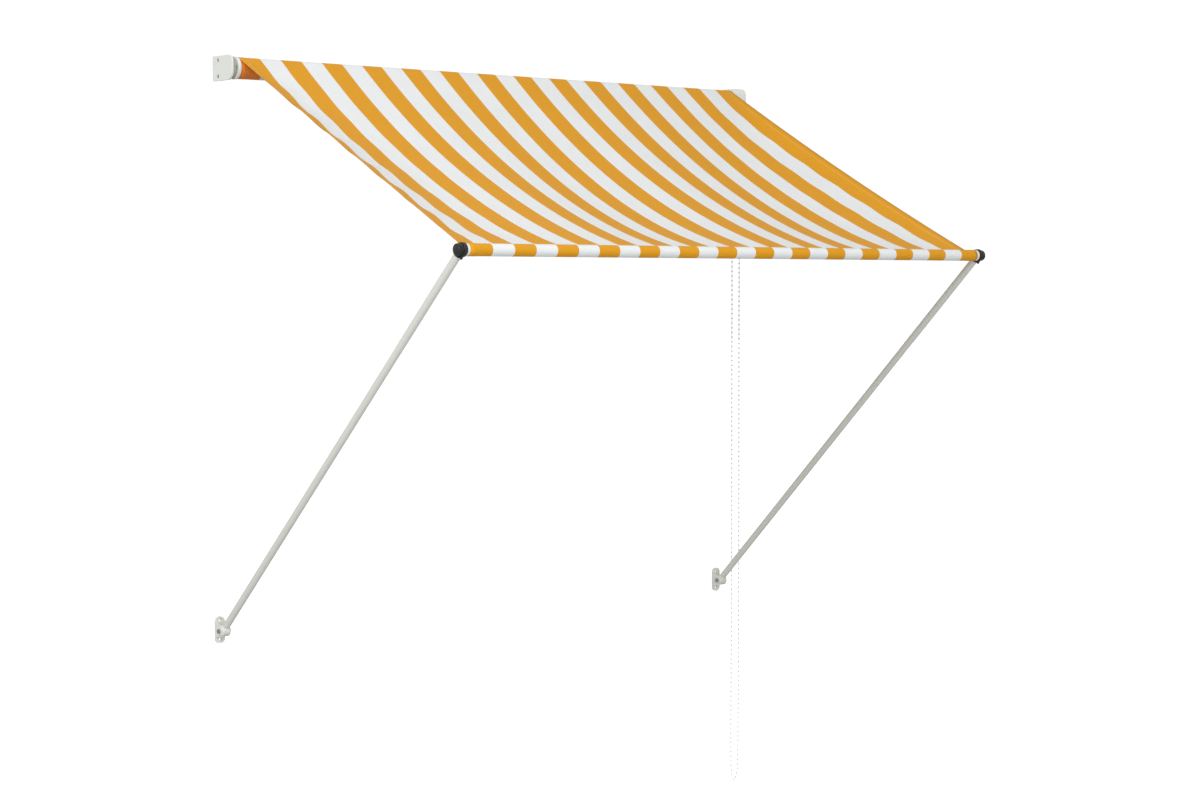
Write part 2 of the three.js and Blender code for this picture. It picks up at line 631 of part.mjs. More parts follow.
Object.entries(SIDES).forEach(([name, side]) => {
  const hubFace = ARM_X - 6;
  const plug = join(
    rodX(HEM_RADIUS - 0.1, side * 729, side * (hubFace - GAP), 0, 0),
    rodX(BAR_RADIUS - BAR_WALL - GAP, side * 704, side * 730, 0, 0),
    rodX(6, side * 730, side * (ARM_X + 3.1), 0, 0),
  );
  const pilot = rodX(2.4, side * 728, side * (ARM_X + 10), 0, 0, SMALL_ROUND);
  add(bar, `${name}_bar_plug`, whitePlastic, cut(plug, pilot));

  add(bar, `${name}_journal_screw`, zincSteel, join(
    rodX(8.2, side * (ARM_X + 3.8), side * (ARM_X + 6.4), 0, 0),
    rodX(2, side * 732, side * (ARM_X + 4.5), 0, 0, SMALL_ROUND),
  ));
});

// ---------------------------------------------------------------- the row's origin
const leftBaseMiddle = (LEFT_BASE_INNER + BRACKET_OUTER_LEFT + CHEEK_THICKNESS + GAP) / 2;
awning.position.set(-leftBaseMiddle, 0, -BRACKET_MIDDLE);

export default awning;
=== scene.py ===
"""A drop-arm roller awning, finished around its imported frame.

Striped cloth pays out over the top of a wall-hung roller. A front bar in the cloth's hem carries its far
edge, two tube arms hinged on wall feet hold the bar out, and an endless bead chain turns the roller.

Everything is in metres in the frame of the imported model: +X runs along the roller, the wall is the plane
Y = 0, the awning stands out of it towards -Y, and +Z is up.
"""

import json
import logging
import math
from collections.abc import Callable, Iterable, Sequence
from dataclasses import dataclass
from enum import Enum
from functools import cache

import bmesh
import bpy
from mathutils import Matrix, Vector


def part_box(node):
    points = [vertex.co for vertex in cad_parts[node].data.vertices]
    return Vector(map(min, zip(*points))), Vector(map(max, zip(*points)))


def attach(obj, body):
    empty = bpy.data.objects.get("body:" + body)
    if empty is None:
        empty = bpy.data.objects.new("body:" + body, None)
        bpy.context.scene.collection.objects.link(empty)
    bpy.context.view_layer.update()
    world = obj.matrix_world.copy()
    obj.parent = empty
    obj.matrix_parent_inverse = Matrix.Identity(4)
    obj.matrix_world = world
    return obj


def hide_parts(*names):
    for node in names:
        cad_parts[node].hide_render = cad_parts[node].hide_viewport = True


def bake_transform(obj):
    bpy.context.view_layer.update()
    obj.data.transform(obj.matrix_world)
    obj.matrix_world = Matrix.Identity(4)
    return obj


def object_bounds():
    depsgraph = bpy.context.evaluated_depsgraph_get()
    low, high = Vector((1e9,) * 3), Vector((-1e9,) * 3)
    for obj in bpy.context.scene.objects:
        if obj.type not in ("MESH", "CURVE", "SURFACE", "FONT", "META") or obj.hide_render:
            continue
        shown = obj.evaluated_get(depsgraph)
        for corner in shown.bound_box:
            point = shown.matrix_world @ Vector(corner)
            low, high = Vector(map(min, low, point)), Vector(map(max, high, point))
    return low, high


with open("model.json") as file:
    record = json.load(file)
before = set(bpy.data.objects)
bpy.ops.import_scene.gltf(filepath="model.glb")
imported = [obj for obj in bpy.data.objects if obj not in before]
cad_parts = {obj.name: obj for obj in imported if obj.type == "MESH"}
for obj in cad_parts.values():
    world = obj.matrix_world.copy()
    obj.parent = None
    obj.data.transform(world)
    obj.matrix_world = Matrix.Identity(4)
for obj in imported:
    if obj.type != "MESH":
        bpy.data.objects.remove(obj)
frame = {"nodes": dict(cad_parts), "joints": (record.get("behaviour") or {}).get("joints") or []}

CAD_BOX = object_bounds()

log = logging.getLogger("awning")

Point2 = tuple[float, float]
Colour = tuple[float, float, float]


# ------------------------------------------------------------------------------------------ places
class Side(Enum):
    """The two ends of the awning, with the direction of each along X."""

    LEFT = -1
    RIGHT = 1

    @property
    def word(self) -> str:
        """The side's name as the nodes use it."""
        return self.name.lower()


class Axis(Enum):
    """How a shape drawn flat in XY and raised along Z is stood up in the frame."""

    ALONG_X = Matrix(((0, 0, 1, 0), (1, 0, 0, 0), (0, 1, 0, 0), (0, 0, 0, 1)))
    OFF_WALL = Matrix(((1, 0, 0, 0), (0, 0, -1, 0), (0, 1, 0, 0), (0, 0, 0, 1)))


def joint_place(name: str) -> Vector:
    """Gives a point on a joint's axis."""
    return next(Vector(joint["pos_m"]) for joint in frame["joints"] if joint["name"] == name)


ROLLER_AXIS = joint_place("roller_spin")
BAR_AXIS = joint_place("front_bar_turn")


def middle(node: str) -> Vector:
    """Gives the middle of a node's box."""
    low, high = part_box(node)
    return (low + high) / 2


def ends(node: str, side: Side) -> Point2:
    """Gives where a node starts and stops along X."""
    low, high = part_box(node)
    return (low.x, high.x) if side is Side.RIGHT else (high.x, low.x)


# ------------------------------------------------------------------------------------------ node groups
class NodeSheet:
    """A node tree being drawn: it adds nodes, feeds their sockets and does sums."""

    def __init__(self, tree: bpy.types.NodeTree) -> None:
        """Starts drawing on a tree."""
        self.tree = tree

    def add(self, kind: str, feeds: dict | None = None, **settings: object) -> bpy.types.Node:
        """Adds one node.

        Args:
            kind: the node's type name.
            feeds: a value or an output socket for each named or numbered input.
            **settings: the node's own properties.

        Returns:
            The node.
        """
        node = self.tree.nodes.new(kind)
        for name, value in settings.items():
            setattr(node, name, value)
        for key, value in (feeds or {}).items():
            self.feed(node.inputs[key], value)
        return node

    def feed(self, socket: bpy.types.NodeSocket, value: object) -> None:
        """Links an output to an input, or sets the input's own value."""
        if isinstance(value, bpy.types.NodeSocket):
            self.tree.links.new(value, socket)
        else:
            socket.default_value = value

    def math(self, operation: str, *values: object, clamp: bool = False) -> bpy.types.NodeSocket:
        """Adds a sum."""
        feeds = dict(enumerate(values))
        return self.add("ShaderNodeMath", feeds, operation=operation, use_clamp=clamp).outputs[0]

    def mix(self, factor: object, first: object, second: object, blend: str = "MIX") -> bpy.types.NodeSocket:
        """Mixes two colours.

        Args:
            factor: how much of the second.
            first: the first colour.
            second: the second colour.
            blend: the blend type.

        Returns:
            The mixed colour's socket.
        """
        node = self.add("ShaderNodeMix", data_type="RGBA", blend_type=blend)
        self.feed(node.inputs[0], factor)
        for socket, value in ((node.inputs[6], first), (node.inputs[7], second)):
            self.feed(socket, (*value, 1.0) if isinstance(value, tuple) else value)
        return node.outputs[2]

    def ramp(self, value: object, low: float, high: float, out: Point2 = (0.0, 1.0)) -> bpy.types.NodeSocket:
        """Maps a value from one range to another, with smooth ends."""
        feeds = {"Value": value, "From Min": low, "From Max": high, "To Min": out[0], "To Max": out[1]}
        return self.add("ShaderNodeMapRange", feeds, interpolation_type="SMOOTHSTEP").outputs[0]

    def group(self, tree: bpy.types.NodeTree, **feeds: object) -> bpy.types.Node:
        """Places a node group.

        Args:
            tree: the group.
            **feeds: values for its inputs, with _ for a space.

        Returns:
            The group's node.
        """
        node = self.add("ShaderNodeGroup", node_tree=tree)
        for name, value in feeds.items():
            self.feed(node.inputs[name.replace("_", " ")], value)
        return node


def new_material(name: str) -> tuple[bpy.types.Material, NodeSheet, bpy.types.Node]:
    """Starts a material.

    Args:
        name: the material's name.

    Returns:
        The material, a sheet to draw it on and its Principled shader.
    """
    made = bpy.data.materials.new(name)
    made.use_nodes = True
    shader = next(node for node in made.node_tree.nodes if node.type == "BSDF_PRINCIPLED")
    return made, NodeSheet(made.node_tree), shader


class Socket(Enum):
    """The kinds of socket a group has."""

    FLOAT = "NodeSocketFloat"
    VECTOR = "NodeSocketVector"


def new_group(name: str, inputs: dict[str, Socket], outputs: dict[str, Socket]) -> tuple:
    """Starts a shader node group.

    Args:
        name: the group's name.
        inputs: its inputs' names and kinds.
        outputs: its outputs' names and kinds.

    Returns:
        The group, a sheet to draw it on, its input node and its output node.
    """
    tree = bpy.data.node_groups.new(name, "ShaderNodeTree")
    for label, kind in inputs.items():
        tree.interface.new_socket(label, in_out="INPUT", socket_type=kind.value)
    for label, kind in outputs.items():
        tree.interface.new_socket(label, in_out="OUTPUT", socket_type=kind.value)
    sheet = NodeSheet(tree)
    return tree, sheet, sheet.add("NodeGroupInput"), sheet.add("NodeGroupOutput")


@cache
def grain_group() -> bpy.types.NodeTree:
    """Builds the grain: a soft mottle of a given size.

    Returns:
        A group whose Shade is near 1 and whose Height runs from 0 to 1.
    """
    tree, sheet, given, result = new_group(
        "grain",
        {"Place": Socket.VECTOR, "Size": Socket.FLOAT, "Contrast": Socket.FLOAT},
        {"Shade": Socket.FLOAT, "Height": Socket.FLOAT},
    )
    scale = sheet.math("DIVIDE", 1.0, given.outputs["Size"])
    noise = sheet.add("ShaderNodeTexNoise", {"Vector": given.outputs["Place"], "Scale": scale, "Detail": 3.0})
    height = noise.outputs["Fac"]
    centred = sheet.math("MULTIPLY", sheet.math("SUBTRACT", height, 0.5), given.outputs["Contrast"])
    sheet.feed(result.inputs["Shade"], sheet.math("ADD", centred, 1.0))
    sheet.feed(result.inputs["Height"], height)
    return tree


@cache
def edge_wear_group() -> bpy.types.NodeTree:
    """Builds edge wear: a broken line along outward edges.

    Returns:
        A group whose Mask is 1 where the finish is rubbed.
    """
    tree, sheet, given, result = new_group(
        "edge wear", {"Place": Socket.VECTOR, "Amount": Socket.FLOAT}, {"Mask": Socket.FLOAT}
    )
    pointed = sheet.add("ShaderNodeNewGeometry").outputs["Pointiness"]
    edge = sheet.ramp(pointed, 0.52, 0.62)
    patches = sheet.add(
        "ShaderNodeTexNoise", {"Vector": given.outputs["Place"], "Scale": 160.0, "Detail": 4.0}
    )
    broken = sheet.ramp(patches.outputs["Fac"], 0.42, 0.66)
    rubbed = sheet.math("MULTIPLY", edge, broken)
    sheet.feed(result.inputs["Mask"], sheet.math("MULTIPLY", rubbed, given.outputs["Amount"], clamp=True))
    return tree


@cache
def dust_group() -> bpy.types.NodeTree:
    """Builds dust: a thin patchy film on faces that look up.

    Returns:
        A group whose Mask is 1 where dust lies.
    """
    tree, sheet, given, result = new_group(
        "dust", {"Place": Socket.VECTOR, "Amount": Socket.FLOAT}, {"Mask": Socket.FLOAT}
    )
    normal = sheet.add("ShaderNodeNewGeometry").outputs["Normal"]
    upward = sheet.add("ShaderNodeSeparateXYZ", {0: normal}).outputs["Z"]
    patches = sheet.add(
        "ShaderNodeTexNoise", {"Vector": given.outputs["Place"], "Scale": 45.0, "Detail": 5.0}
    )
    film = sheet.math("MULTIPLY", sheet.ramp(upward, 0.2, 0.9), sheet.ramp(patches.outputs["Fac"], 0.3, 0.75))
    sheet.feed(result.inputs["Mask"], sheet.math("MULTIPLY", film, given.outputs["Amount"], clamp=True))
    return tree


@cache
def weave_group() -> bpy.types.NodeTree:
    """Builds a plain weave on cloth measured in metres.

    Returns:
        A group with the threads' Height and a Shade that tells warp from weft and holds painted shade: thread
        crowns lighter, the hollows between them darker.
    """
    tree, sheet, given, result = new_group(
        "plain weave",
        {"Place": Socket.VECTOR, "Thread": Socket.FLOAT},
        {"Height": Socket.FLOAT, "Shade": Socket.FLOAT},
    )
    place = sheet.add("ShaderNodeSeparateXYZ", {0: given.outputs["Place"]})
    turns = sheet.math("DIVIDE", math.pi, given.outputs["Thread"])
    across, along = (
        sheet.math("SINE", sheet.math("MULTIPLY", place.outputs[axis], turns)) for axis in ("X", "Y")
    )
    crossing = sheet.math("MULTIPLY", across, along)
    crown = sheet.math("POWER", sheet.math("ABSOLUTE", crossing), 0.5)
    warp_over = sheet.math("GREATER_THAN", crossing, 0.0)
    sheet.feed(result.inputs["Height"], crown)
    lifted = sheet.math("MULTIPLY_ADD", warp_over, 0.06, 0.94)
    # Painted shade: the thread crowns are lighter and the hollows between them darker.
    lit = sheet.math("MULTIPLY_ADD", crown, 0.1, 0.93)
    sheet.feed(result.inputs["Shade"], sheet.math("MULTIPLY", lifted, lit))
    return tree


# ------------------------------------------------------------------------------------------ finishes
def linear(red: int, green: int, blue: int) -> Colour:
    """Turns a display colour into the linear one that a shader takes.

    Args:
        red: red, from 0 to 255.
        green: green, from 0 to 255.
        blue: blue, from 0 to 255.

    Returns:
        The linear colour.
    """

    def channel(value: int) -> float:
        """One channel's linear value."""
        share = value / 255
        return share / 12.92 if share <= 0.04045 else ((share + 0.055) / 1.055) ** 2.4

    return channel(red), channel(green), channel(blue)


DUST_COLOUR = linear(196, 190, 176)


@dataclass(frozen=True)
class Finish:
    """What every finish has: a name, the record's slot, a colour and a roughness."""

    name: str
    slot: str
    colour: Colour
    roughness: float

    def material(self) -> bpy.types.Material:
        """Gives the finish's material, and draws it the first time.

        Returns:
            The material.
        """
        made = bpy.data.materials.get(self.name)
        if made is None:
            made, sheet, shader = new_material(self.name)
            made.diffuse_color = (*self.colour, 1.0)
            self.draw(sheet, shader)
        return made

    def draw(self, sheet: NodeSheet, shader: bpy.types.Node) -> None:
        """Draws the finish's nodes into its shader."""
        raise NotImplementedError

    def roughen(self, sheet: NodeSheet, shader: bpy.types.Node, shade: bpy.types.NodeSocket) -> None:
        """Feeds the finish's roughness into the shader, varied by a shade that is near 1."""
        sheet.feed(shader.inputs["Roughness"], sheet.math("MULTIPLY", shade, self.roughness, clamp=True))

    @staticmethod
    def bump(sheet: NodeSheet, shader: bpy.types.Node, height: object, depth: float, strength: float) -> None:
        """Feeds a height into the shader's normal."""
        bump = sheet.add("ShaderNodeBump", {"Height": height, "Distance": depth, "Strength": strength})
        sheet.feed(shader.inputs["Normal"], bump.outputs["Normal"])


@dataclass(frozen=True)
class PowderCoat(Finish):
    """Baked powder paint: a fine orange peel, edges rubbed thin, a little dust."""

    peel: float = 0.0016
    worn_colour: Colour = linear(168, 168, 162)
    wear: float = 0.15
    dust: float = 0.08

    def draw(self, sheet: NodeSheet, shader: bpy.types.Node) -> None:
        """Draws the paint."""
        place = sheet.add("ShaderNodeTexCoord").outputs["Object"]
        mottle = sheet.group(grain_group(), Place=place, Size=0.03, Contrast=0.03)
        peel = sheet.group(grain_group(), Place=place, Size=self.peel, Contrast=0.3)
        worn = sheet.group(edge_wear_group(), Place=place, Amount=self.wear).outputs["Mask"]
        dusty = sheet.group(dust_group(), Place=place, Amount=self.dust).outputs["Mask"]
        shaded = sheet.mix(1.0, self.colour, mottle.outputs["Shade"], "MULTIPLY")
        rubbed = sheet.mix(worn, shaded, self.worn_colour)
        sheet.feed(shader.inputs["Base Color"], sheet.mix(dusty, rubbed, DUST_COLOUR))
        self.roughen(sheet, shader, peel.outputs["Shade"])
        self.bump(sheet, shader, peel.outputs["Height"], 0.00006, 0.5)


@dataclass(frozen=True)
class MouldedPlastic(Finish):
    """Injection-moulded plastic with a fine spark texture."""

    texture: float = 0.0005
    dust: float = 0.06

    def draw(self, sheet: NodeSheet, shader: bpy.types.Node) -> None:
        """Draws the plastic."""
        place = sheet.add("ShaderNodeTexCoord").outputs["Object"]
        flow = sheet.group(grain_group(), Place=place, Size=0.02, Contrast=0.06)
        spark = sheet.group(grain_group(), Place=place, Size=self.texture, Contrast=0.25)
        dusty = sheet.group(dust_group(), Place=place, Amount=self.dust).outputs["Mask"]
        shaded = sheet.mix(1.0, self.colour, flow.outputs["Shade"], "MULTIPLY")
        sheet.feed(shader.inputs["Base Color"], sheet.mix(dusty, shaded, DUST_COLOUR))
        self.roughen(sheet, shader, spark.outputs["Shade"])
        self.bump(sheet, shader, spark.outputs["Height"], 0.00003, 0.6)


@dataclass(frozen=True)
class BareMetal(Finish):
    """Plated or drawn metal, with streaks along the given direction."""

    streak: tuple[float, float, float] = (1.0, 1.0, 1.0)

    def draw(self, sheet: NodeSheet, shader: bpy.types.Node) -> None:
        """Draws the metal."""
        place = sheet.add("ShaderNodeTexCoord").outputs["Object"]
        drawn = sheet.add("ShaderNodeMapping", {"Vector": place, "Scale": self.streak}).outputs[0]
        streaks = sheet.group(grain_group(), Place=drawn, Size=0.0012, Contrast=0.5)
        cloud = sheet.group(grain_group(), Place=place, Size=0.008, Contrast=0.2)
        shaded = sheet.mix(1.0, self.colour, cloud.outputs["Shade"], "MULTIPLY")
        sheet.feed(shader.inputs["Base Color"], shaded)
        shader.inputs["Metallic"].default_value = 1.0
        self.roughen(sheet, shader, streaks.outputs["Shade"])
        self.bump(sheet, shader, streaks.outputs["Height"], 0.00002, 0.4)


@dataclass(frozen=True)
class StripedCanvas(Finish):
    """Woven cloth with stripes along its length, read from the cloth's own UV map in metres.

    The first stretch of its length, wound on the roller, has painted shade: deeper colours that stand in for
    the shade and warm bounced light between the sheet and the roll.
    """

    second_colour: Colour = (1.0, 1.0, 1.0)
    # Painted shade: the colours of the wound stretch, and how far along the cloth it reaches.
    deep_colour: Colour = (1.0, 1.0, 1.0)
    deep_second_colour: Colour = (1.0, 1.0, 1.0)
    wound: float = 0.095
    stripe: float = 0.05393
    thread: float = 0.0007

    def draw(self, sheet: NodeSheet, shader: bpy.types.Node) -> None:
        """Draws the cloth."""
        place = sheet.add("ShaderNodeUVMap", uv_map=CLOTH_UV).outputs["UV"]
        measured = sheet.add("ShaderNodeSeparateXYZ", {0: place})
        stripe = sheet.math("FLOOR", sheet.math("DIVIDE", measured.outputs["X"], self.stripe))
        # Painted shade: before this length the cloth takes the deeper colours that stand in for the shade
        # under the sheet.
        out_of_painted_shade = sheet.ramp(measured.outputs["Y"], self.wound - 0.02, self.wound)
        second = sheet.math("FLOORED_MODULO", stripe, 2.0)
        weave = sheet.group(weave_group(), Place=place, Thread=self.thread)
        slub = sheet.group(grain_group(), Place=place, Size=0.004, Contrast=0.16)
        cloud = sheet.group(grain_group(), Place=place, Size=0.09, Contrast=0.07)
        first_dye_and_shade = sheet.mix(out_of_painted_shade, self.deep_colour, self.colour)
        second_dye_and_shade = sheet.mix(out_of_painted_shade, self.deep_second_colour, self.second_colour)
        dyed_and_shaded = sheet.mix(second, first_dye_and_shade, second_dye_and_shade)
        # The weave's Shade carries painted shade in the hollows between threads, besides warp against weft.
        woven = sheet.mix(1.0, dyed_and_shaded, weave.outputs["Shade"], "MULTIPLY")
        uneven = sheet.math("MULTIPLY", slub.outputs["Shade"], cloud.outputs["Shade"])
        sheet.feed(shader.inputs["Base Color"], sheet.mix(1.0, woven, uneven, "MULTIPLY"))
        self.roughen(sheet, shader, slub.outputs["Shade"])
        shader.inputs["Sheen Weight"].default_value = 0.05
        shader.inputs["Specular IOR Level"].default_value = 0.2
        relief = sheet.math("MULTIPLY_ADD", slub.outputs["Height"], 0.6, weave.outputs["Height"])
        self.bump(sheet, shader, relief, 0.00016, 0.6)


CLOTH_UV = "cloth_metres"
BRACKET_PAINT = PowderCoat("white powder coat", "bracket_paint", linear(226, 228, 222), 0.42)
ARM_PAINT = PowderCoat("satin powder coat", "arm_paint", linear(216, 217, 210), 0.5)
WHITE_PLASTIC = MouldedPlastic("white moulded plastic", "white_plastic", linear(228, 230, 226), 0.42)
# Painted shade: a darker grey that stands in for the shadow the cheek casts on the idle plug's neck.
PAINTED_NECK_SHADE = MouldedPlastic("grey moulded plastic", "white_plastic", linear(160, 162, 155), 0.5)
BLACK_PLASTIC = MouldedPlastic("black moulded plastic", "black_plastic", linear(29, 29, 29), 0.4)
ZINC_STEEL = BareMetal("zinc plated steel", "zinc_steel", linear(176, 176, 174), 0.36)
BARE_ALUMINIUM = BareMetal(
    "drawn aluminium", "bare_aluminium", linear(206, 208, 210), 0.34, streak=(0.02, 1.0, 1.0)
)
CHAIN_RESIN = MouldedPlastic("pale chain resin", "chain_plastic", linear(224, 226, 226), 0.3)
# The deeper pair of colours is painted shade for the turns on the roller under the sheet.
AWNING_CLOTH = StripedCanvas(
    "striped awning canvas", "awning_cloth", linear(226, 158, 24), 0.85, second_colour=linear(236, 239, 239),
    deep_colour=linear(228, 132, 54), deep_second_colour=linear(222, 224, 222),
)  # fmt: skip
SEWING_THREAD = MouldedPlastic("sewing thread", "awning_cloth", linear(232, 222, 198), 0.8)


# ------------------------------------------------------------------------------------------ mesh tools
MERGE = 1e-6
SHARP = math.radians(32)
OVERSHOOT = 0.01


def turned(
    profile: Sequence[Point2], centre: Vector, sides: int = 64, closed: bool = False
) -> bmesh.types.BMesh:
    """Turns a profile round a line along X.

    Args:
        profile: distances along X and radii. Its ends lie on the line, or it closes on itself.
        centre: a point on the line; only its Y and Z are used.
        sides: how many sides the round has.
        closed: whether the last point joins the first.

    Returns:
        The turned body.
    """
    body = bmesh.new()
    points = [body.verts.new((along, radius, 0)) for along, radius in profile]
    pairs = list(zip(points, points[1:])) + ([(points[-1], points[0])] if closed else [])
    lines = [body.edges.new(pair) for pair in pairs]
    bmesh.ops.spin(
        body, geom=points + lines, cent=(0, 0, 0), axis=(1, 0, 0), angle=math.tau, steps=sides, use_merge=True
    )
    bmesh.ops.remove_doubles(body, verts=body.verts, dist=MERGE)
    bmesh.ops.recalc_face_normals(body, faces=body.faces)
    bmesh.ops.translate(body, verts=body.verts, vec=(0, centre.y, centre.z))
    return body


def rod(radius: float, start: float, end: float, centre: Vector, sides: int = 64) -> bmesh.types.BMesh:
    """A round bar along X, from start to end."""
    low, high = sorted((start, end))
    return turned([(low, 0), (low, radius), (high, radius), (high, 0)], centre, sides)


def ring(
    outer: float, inner: float, start: float, end: float, centre: Vector, sides: int = 64
) -> bmesh.types.BMesh:
    """A tube along X, from start to end."""
    low, high = sorted((start, end))
    return turned([(low, inner), (low, outer), (high, outer), (high, inner)], centre, sides, closed=True)


def block(low: Sequence[float], high: Sequence[float]) -> bmesh.types.BMesh:
    """A box between two corners."""
    body = bmesh.new()
    bmesh.ops.create_cube(body, size=1)
    size = [b - a for a, b in zip(low, high)]
    bmesh.ops.scale(body, verts=body.verts, vec=size)
    bmesh.ops.translate(body, verts=body.verts, vec=[(a + b) / 2 for a, b in zip(low, high)])
    return body


def rod_off_wall(radius: float, near: float, far: float, spot: Vector, sides: int) -> bmesh.types.BMesh:
    """Makes a round bar along Y.

    Args:
        radius: its radius.
        near: Y of the end on the wall's side.
        far: Y of the other end.
        spot: a point on its axis; only its X and Z are used.
        sides: how many sides the round has.

    Returns:
        The bar.
    """
    body = bmesh.new()
    centre = Vector((spot.x, (near + far) / 2, spot.z))
    place = Matrix.Translation(centre) @ Matrix.Rotation(math.pi / 2, 4, "X")
    bmesh.ops.create_cone(
        body, cap_ends=True, segments=sides, radius1=radius, radius2=radius, depth=near - far, matrix=place
    )
    return body


@dataclass(frozen=True)
class Corner:
    """A corner of an outline, and how far its rounding reaches along each side."""

    across: float
    up: float
    round: float = 0.0


def plate(
    outline: Iterable[Corner], start: float, end: float, stand: Axis, arc: int = 10
) -> bmesh.types.BMesh:
    """Raises an outline into a plate.

    Args:
        outline: its corners, in order.
        start: where the plate's first face lies, along the direction it is raised in.
        end: where its other face lies.
        stand: how the plate stands in the frame.
        arc: how many steps a rounded corner has.

    Returns:
        The plate.
    """
    corners = list(outline)
    body = bmesh.new()
    points = [body.verts.new((corner.across, corner.up, min(start, end))) for corner in corners]
    body.faces.new(points)
    for corner, point in zip(corners, points):
        if corner.round > 0:
            bmesh.ops.bevel(
                body,
                geom=[point],
                offset=corner.round,
                segments=arc,
                profile=0.5,
                affect="VERTICES",
                material=-1,
            )
    raised = bmesh.ops.extrude_face_region(body, geom=body.faces[:])["geom"]
    top = [item for item in raised if isinstance(item, bmesh.types.BMVert)]
    bmesh.ops.translate(body, verts=top, vec=(0, 0, abs(end - start)))
    bmesh.ops.transform(body, matrix=stand.value, verts=body.verts)
    bmesh.ops.recalc_face_normals(body, faces=body.faces)
    return body


def nosed_outline(low: Vector, high: Vector, back: float, nose_top: float, nose_under: float) -> list[Corner]:
    """Outlines a side plate that is square at the wall and rounded in front.

    Args:
        low: the low corner of its box.
        high: the high corner of its box.
        back: the rounding of the two corners at the wall.
        nose_top: the rounding of the top corner in front.
        nose_under: the rounding of the bottom corner in front.

    Returns:
        The corners, as Y and Z.
    """
    return [
        Corner(high.y, low.z, back),
        Corner(high.y, high.z, back),
        Corner(low.y, high.z, nose_top),
        Corner(low.y, low.z, nose_under),
    ]


class Joining(Enum):
    """How two bodies are put together."""

    FUSE = "UNION"
    CUT = "DIFFERENCE"


def linked(name: str, data: bpy.types.ID) -> bpy.types.Object:
    """Makes an object of some data and puts it in the scene.

    Args:
        name: the object's name.
        data: its mesh, curve, light or camera.

    Returns:
        The object.
    """
    made = bpy.data.objects.new(name, data)
    bpy.context.scene.collection.objects.link(made)
    return made


def evaluated(held: bpy.types.Object) -> bmesh.types.BMesh:
    """Gives the body that an object's modifiers or curve settings make.

    Args:
        held: the object.

    Returns:
        The body.
    """
    final = held.evaluated_get(bpy.context.evaluated_depsgraph_get())
    body = bmesh.new()
    body.from_mesh(final.to_mesh())
    final.to_mesh_clear()
    return body


def temporary(body: bmesh.types.BMesh) -> bpy.types.Object:
    """Puts a body in the scene for a moment, and frees it.

    Args:
        body: the body.

    Returns:
        The object that holds it.
    """
    mesh = bpy.data.meshes.new("temporary")
    body.to_mesh(mesh)
    body.free()
    return linked("temporary", mesh)


def discard(*held: bpy.types.Object) -> None:
    """Removes objects and their data."""
    for item in held:
        data = item.data
        bpy.data.objects.remove(item)
        if isinstance(data, bpy.types.Mesh):
            bpy.data.meshes.remove(data)
        else:
            bpy.data.curves.remove(data)


def combined(body: bmesh.types.BMesh, joining: Joining, *tools: bmesh.types.BMesh) -> bmesh.types.BMesh:
    """Fuses bodies, or cuts tools out of one.

    Args:
        body: the first body; it is used up.
        joining: whether to fuse or to cut.
        *tools: the other bodies; they are used up.

    Returns:
        The new body.
    """
    base = temporary(body)
    held = [temporary(tool) for tool in tools]
    for tool in held:
        step = base.modifiers.new("join", "BOOLEAN")
        step.operation = joining.value
        step.solver = "EXACT"
        step.object = tool
    result = evaluated(base)
    discard(base, *held)
    bmesh.ops.remove_doubles(result, verts=result.verts, dist=MERGE)
    return result


def soften(
    body: bmesh.types.BMesh, width: float, segments: int = 2, sharp: float = SHARP
) -> bmesh.types.BMesh:
    """Rounds a body's sharp edges.

    Args:
        body: the body.
        width: the rounding's width.
        segments: how many steps it has.
        sharp: the least angle that counts as sharp.

    Returns:
        The same body.
    """
    bmesh.ops.dissolve_limit(body, angle_limit=math.radians(0.5), verts=body.verts, edges=body.edges)
    edges = [edge for edge in body.edges if edge.is_manifold and edge.calc_face_angle(0) > sharp]
    bmesh.ops.bevel(
        body,
        geom=edges,
        offset=width,
        offset_type="OFFSET",
        segments=segments,
        profile=0.5,
        affect="EDGES",
        clamp_overlap=True,
        material=-1,
    )
    bmesh.ops.remove_doubles(body, verts=body.verts, dist=MERGE)
    return body


def smooth(mesh: bmesh.types.BMesh, sharp: float = SHARP) -> None:
    """Shades a body smooth, apart from its sharp edges."""
    for face in mesh.faces:
        face.smooth = True
    for edge in mesh.edges:
        edge.smooth = edge.calc_face_angle(0) <= sharp


def new_piece(body: bmesh.types.BMesh, name: str, finish: Finish, even: bool = True) -> bpy.types.Object:
    """Makes an object of a body, in its finish and not yet riding on anything.

    Args:
        body: the body; it is used up.
        name: the piece's name.
        finish: its finish.
        even: whether large flats keep even shading beside rounded edges.

    Returns:
        The object.
    """
    smooth(body)
    mesh = bpy.data.meshes.new(name)
    body.to_mesh(mesh)
    body.free()
    piece = linked(name, mesh)
    mesh.materials.append(finish.material())
    if even:
        piece.modifiers.new("even shading", "WEIGHTED_NORMAL").keep_sharp = True
    log.info("%s: %d faces", name, len(mesh.polygons))
    return piece


def stand_in(
    body: bmesh.types.BMesh, node: str, finish: Finish, rides: str, suffix: str = "finished"
) -> bpy.types.Object:
    """Makes the piece that stands for a CAD node.

    Args:
        body: the piece's body; it is used up.
        node: the CAD node.
        finish: its finish.
        rides: the body it rides on.
        suffix: what follows the node's name in the piece's.

    Returns:
        The piece.
    """
    piece = new_piece(body, f"{node}_{suffix}", finish)
    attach(piece, rides)
    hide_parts(node)
    return piece


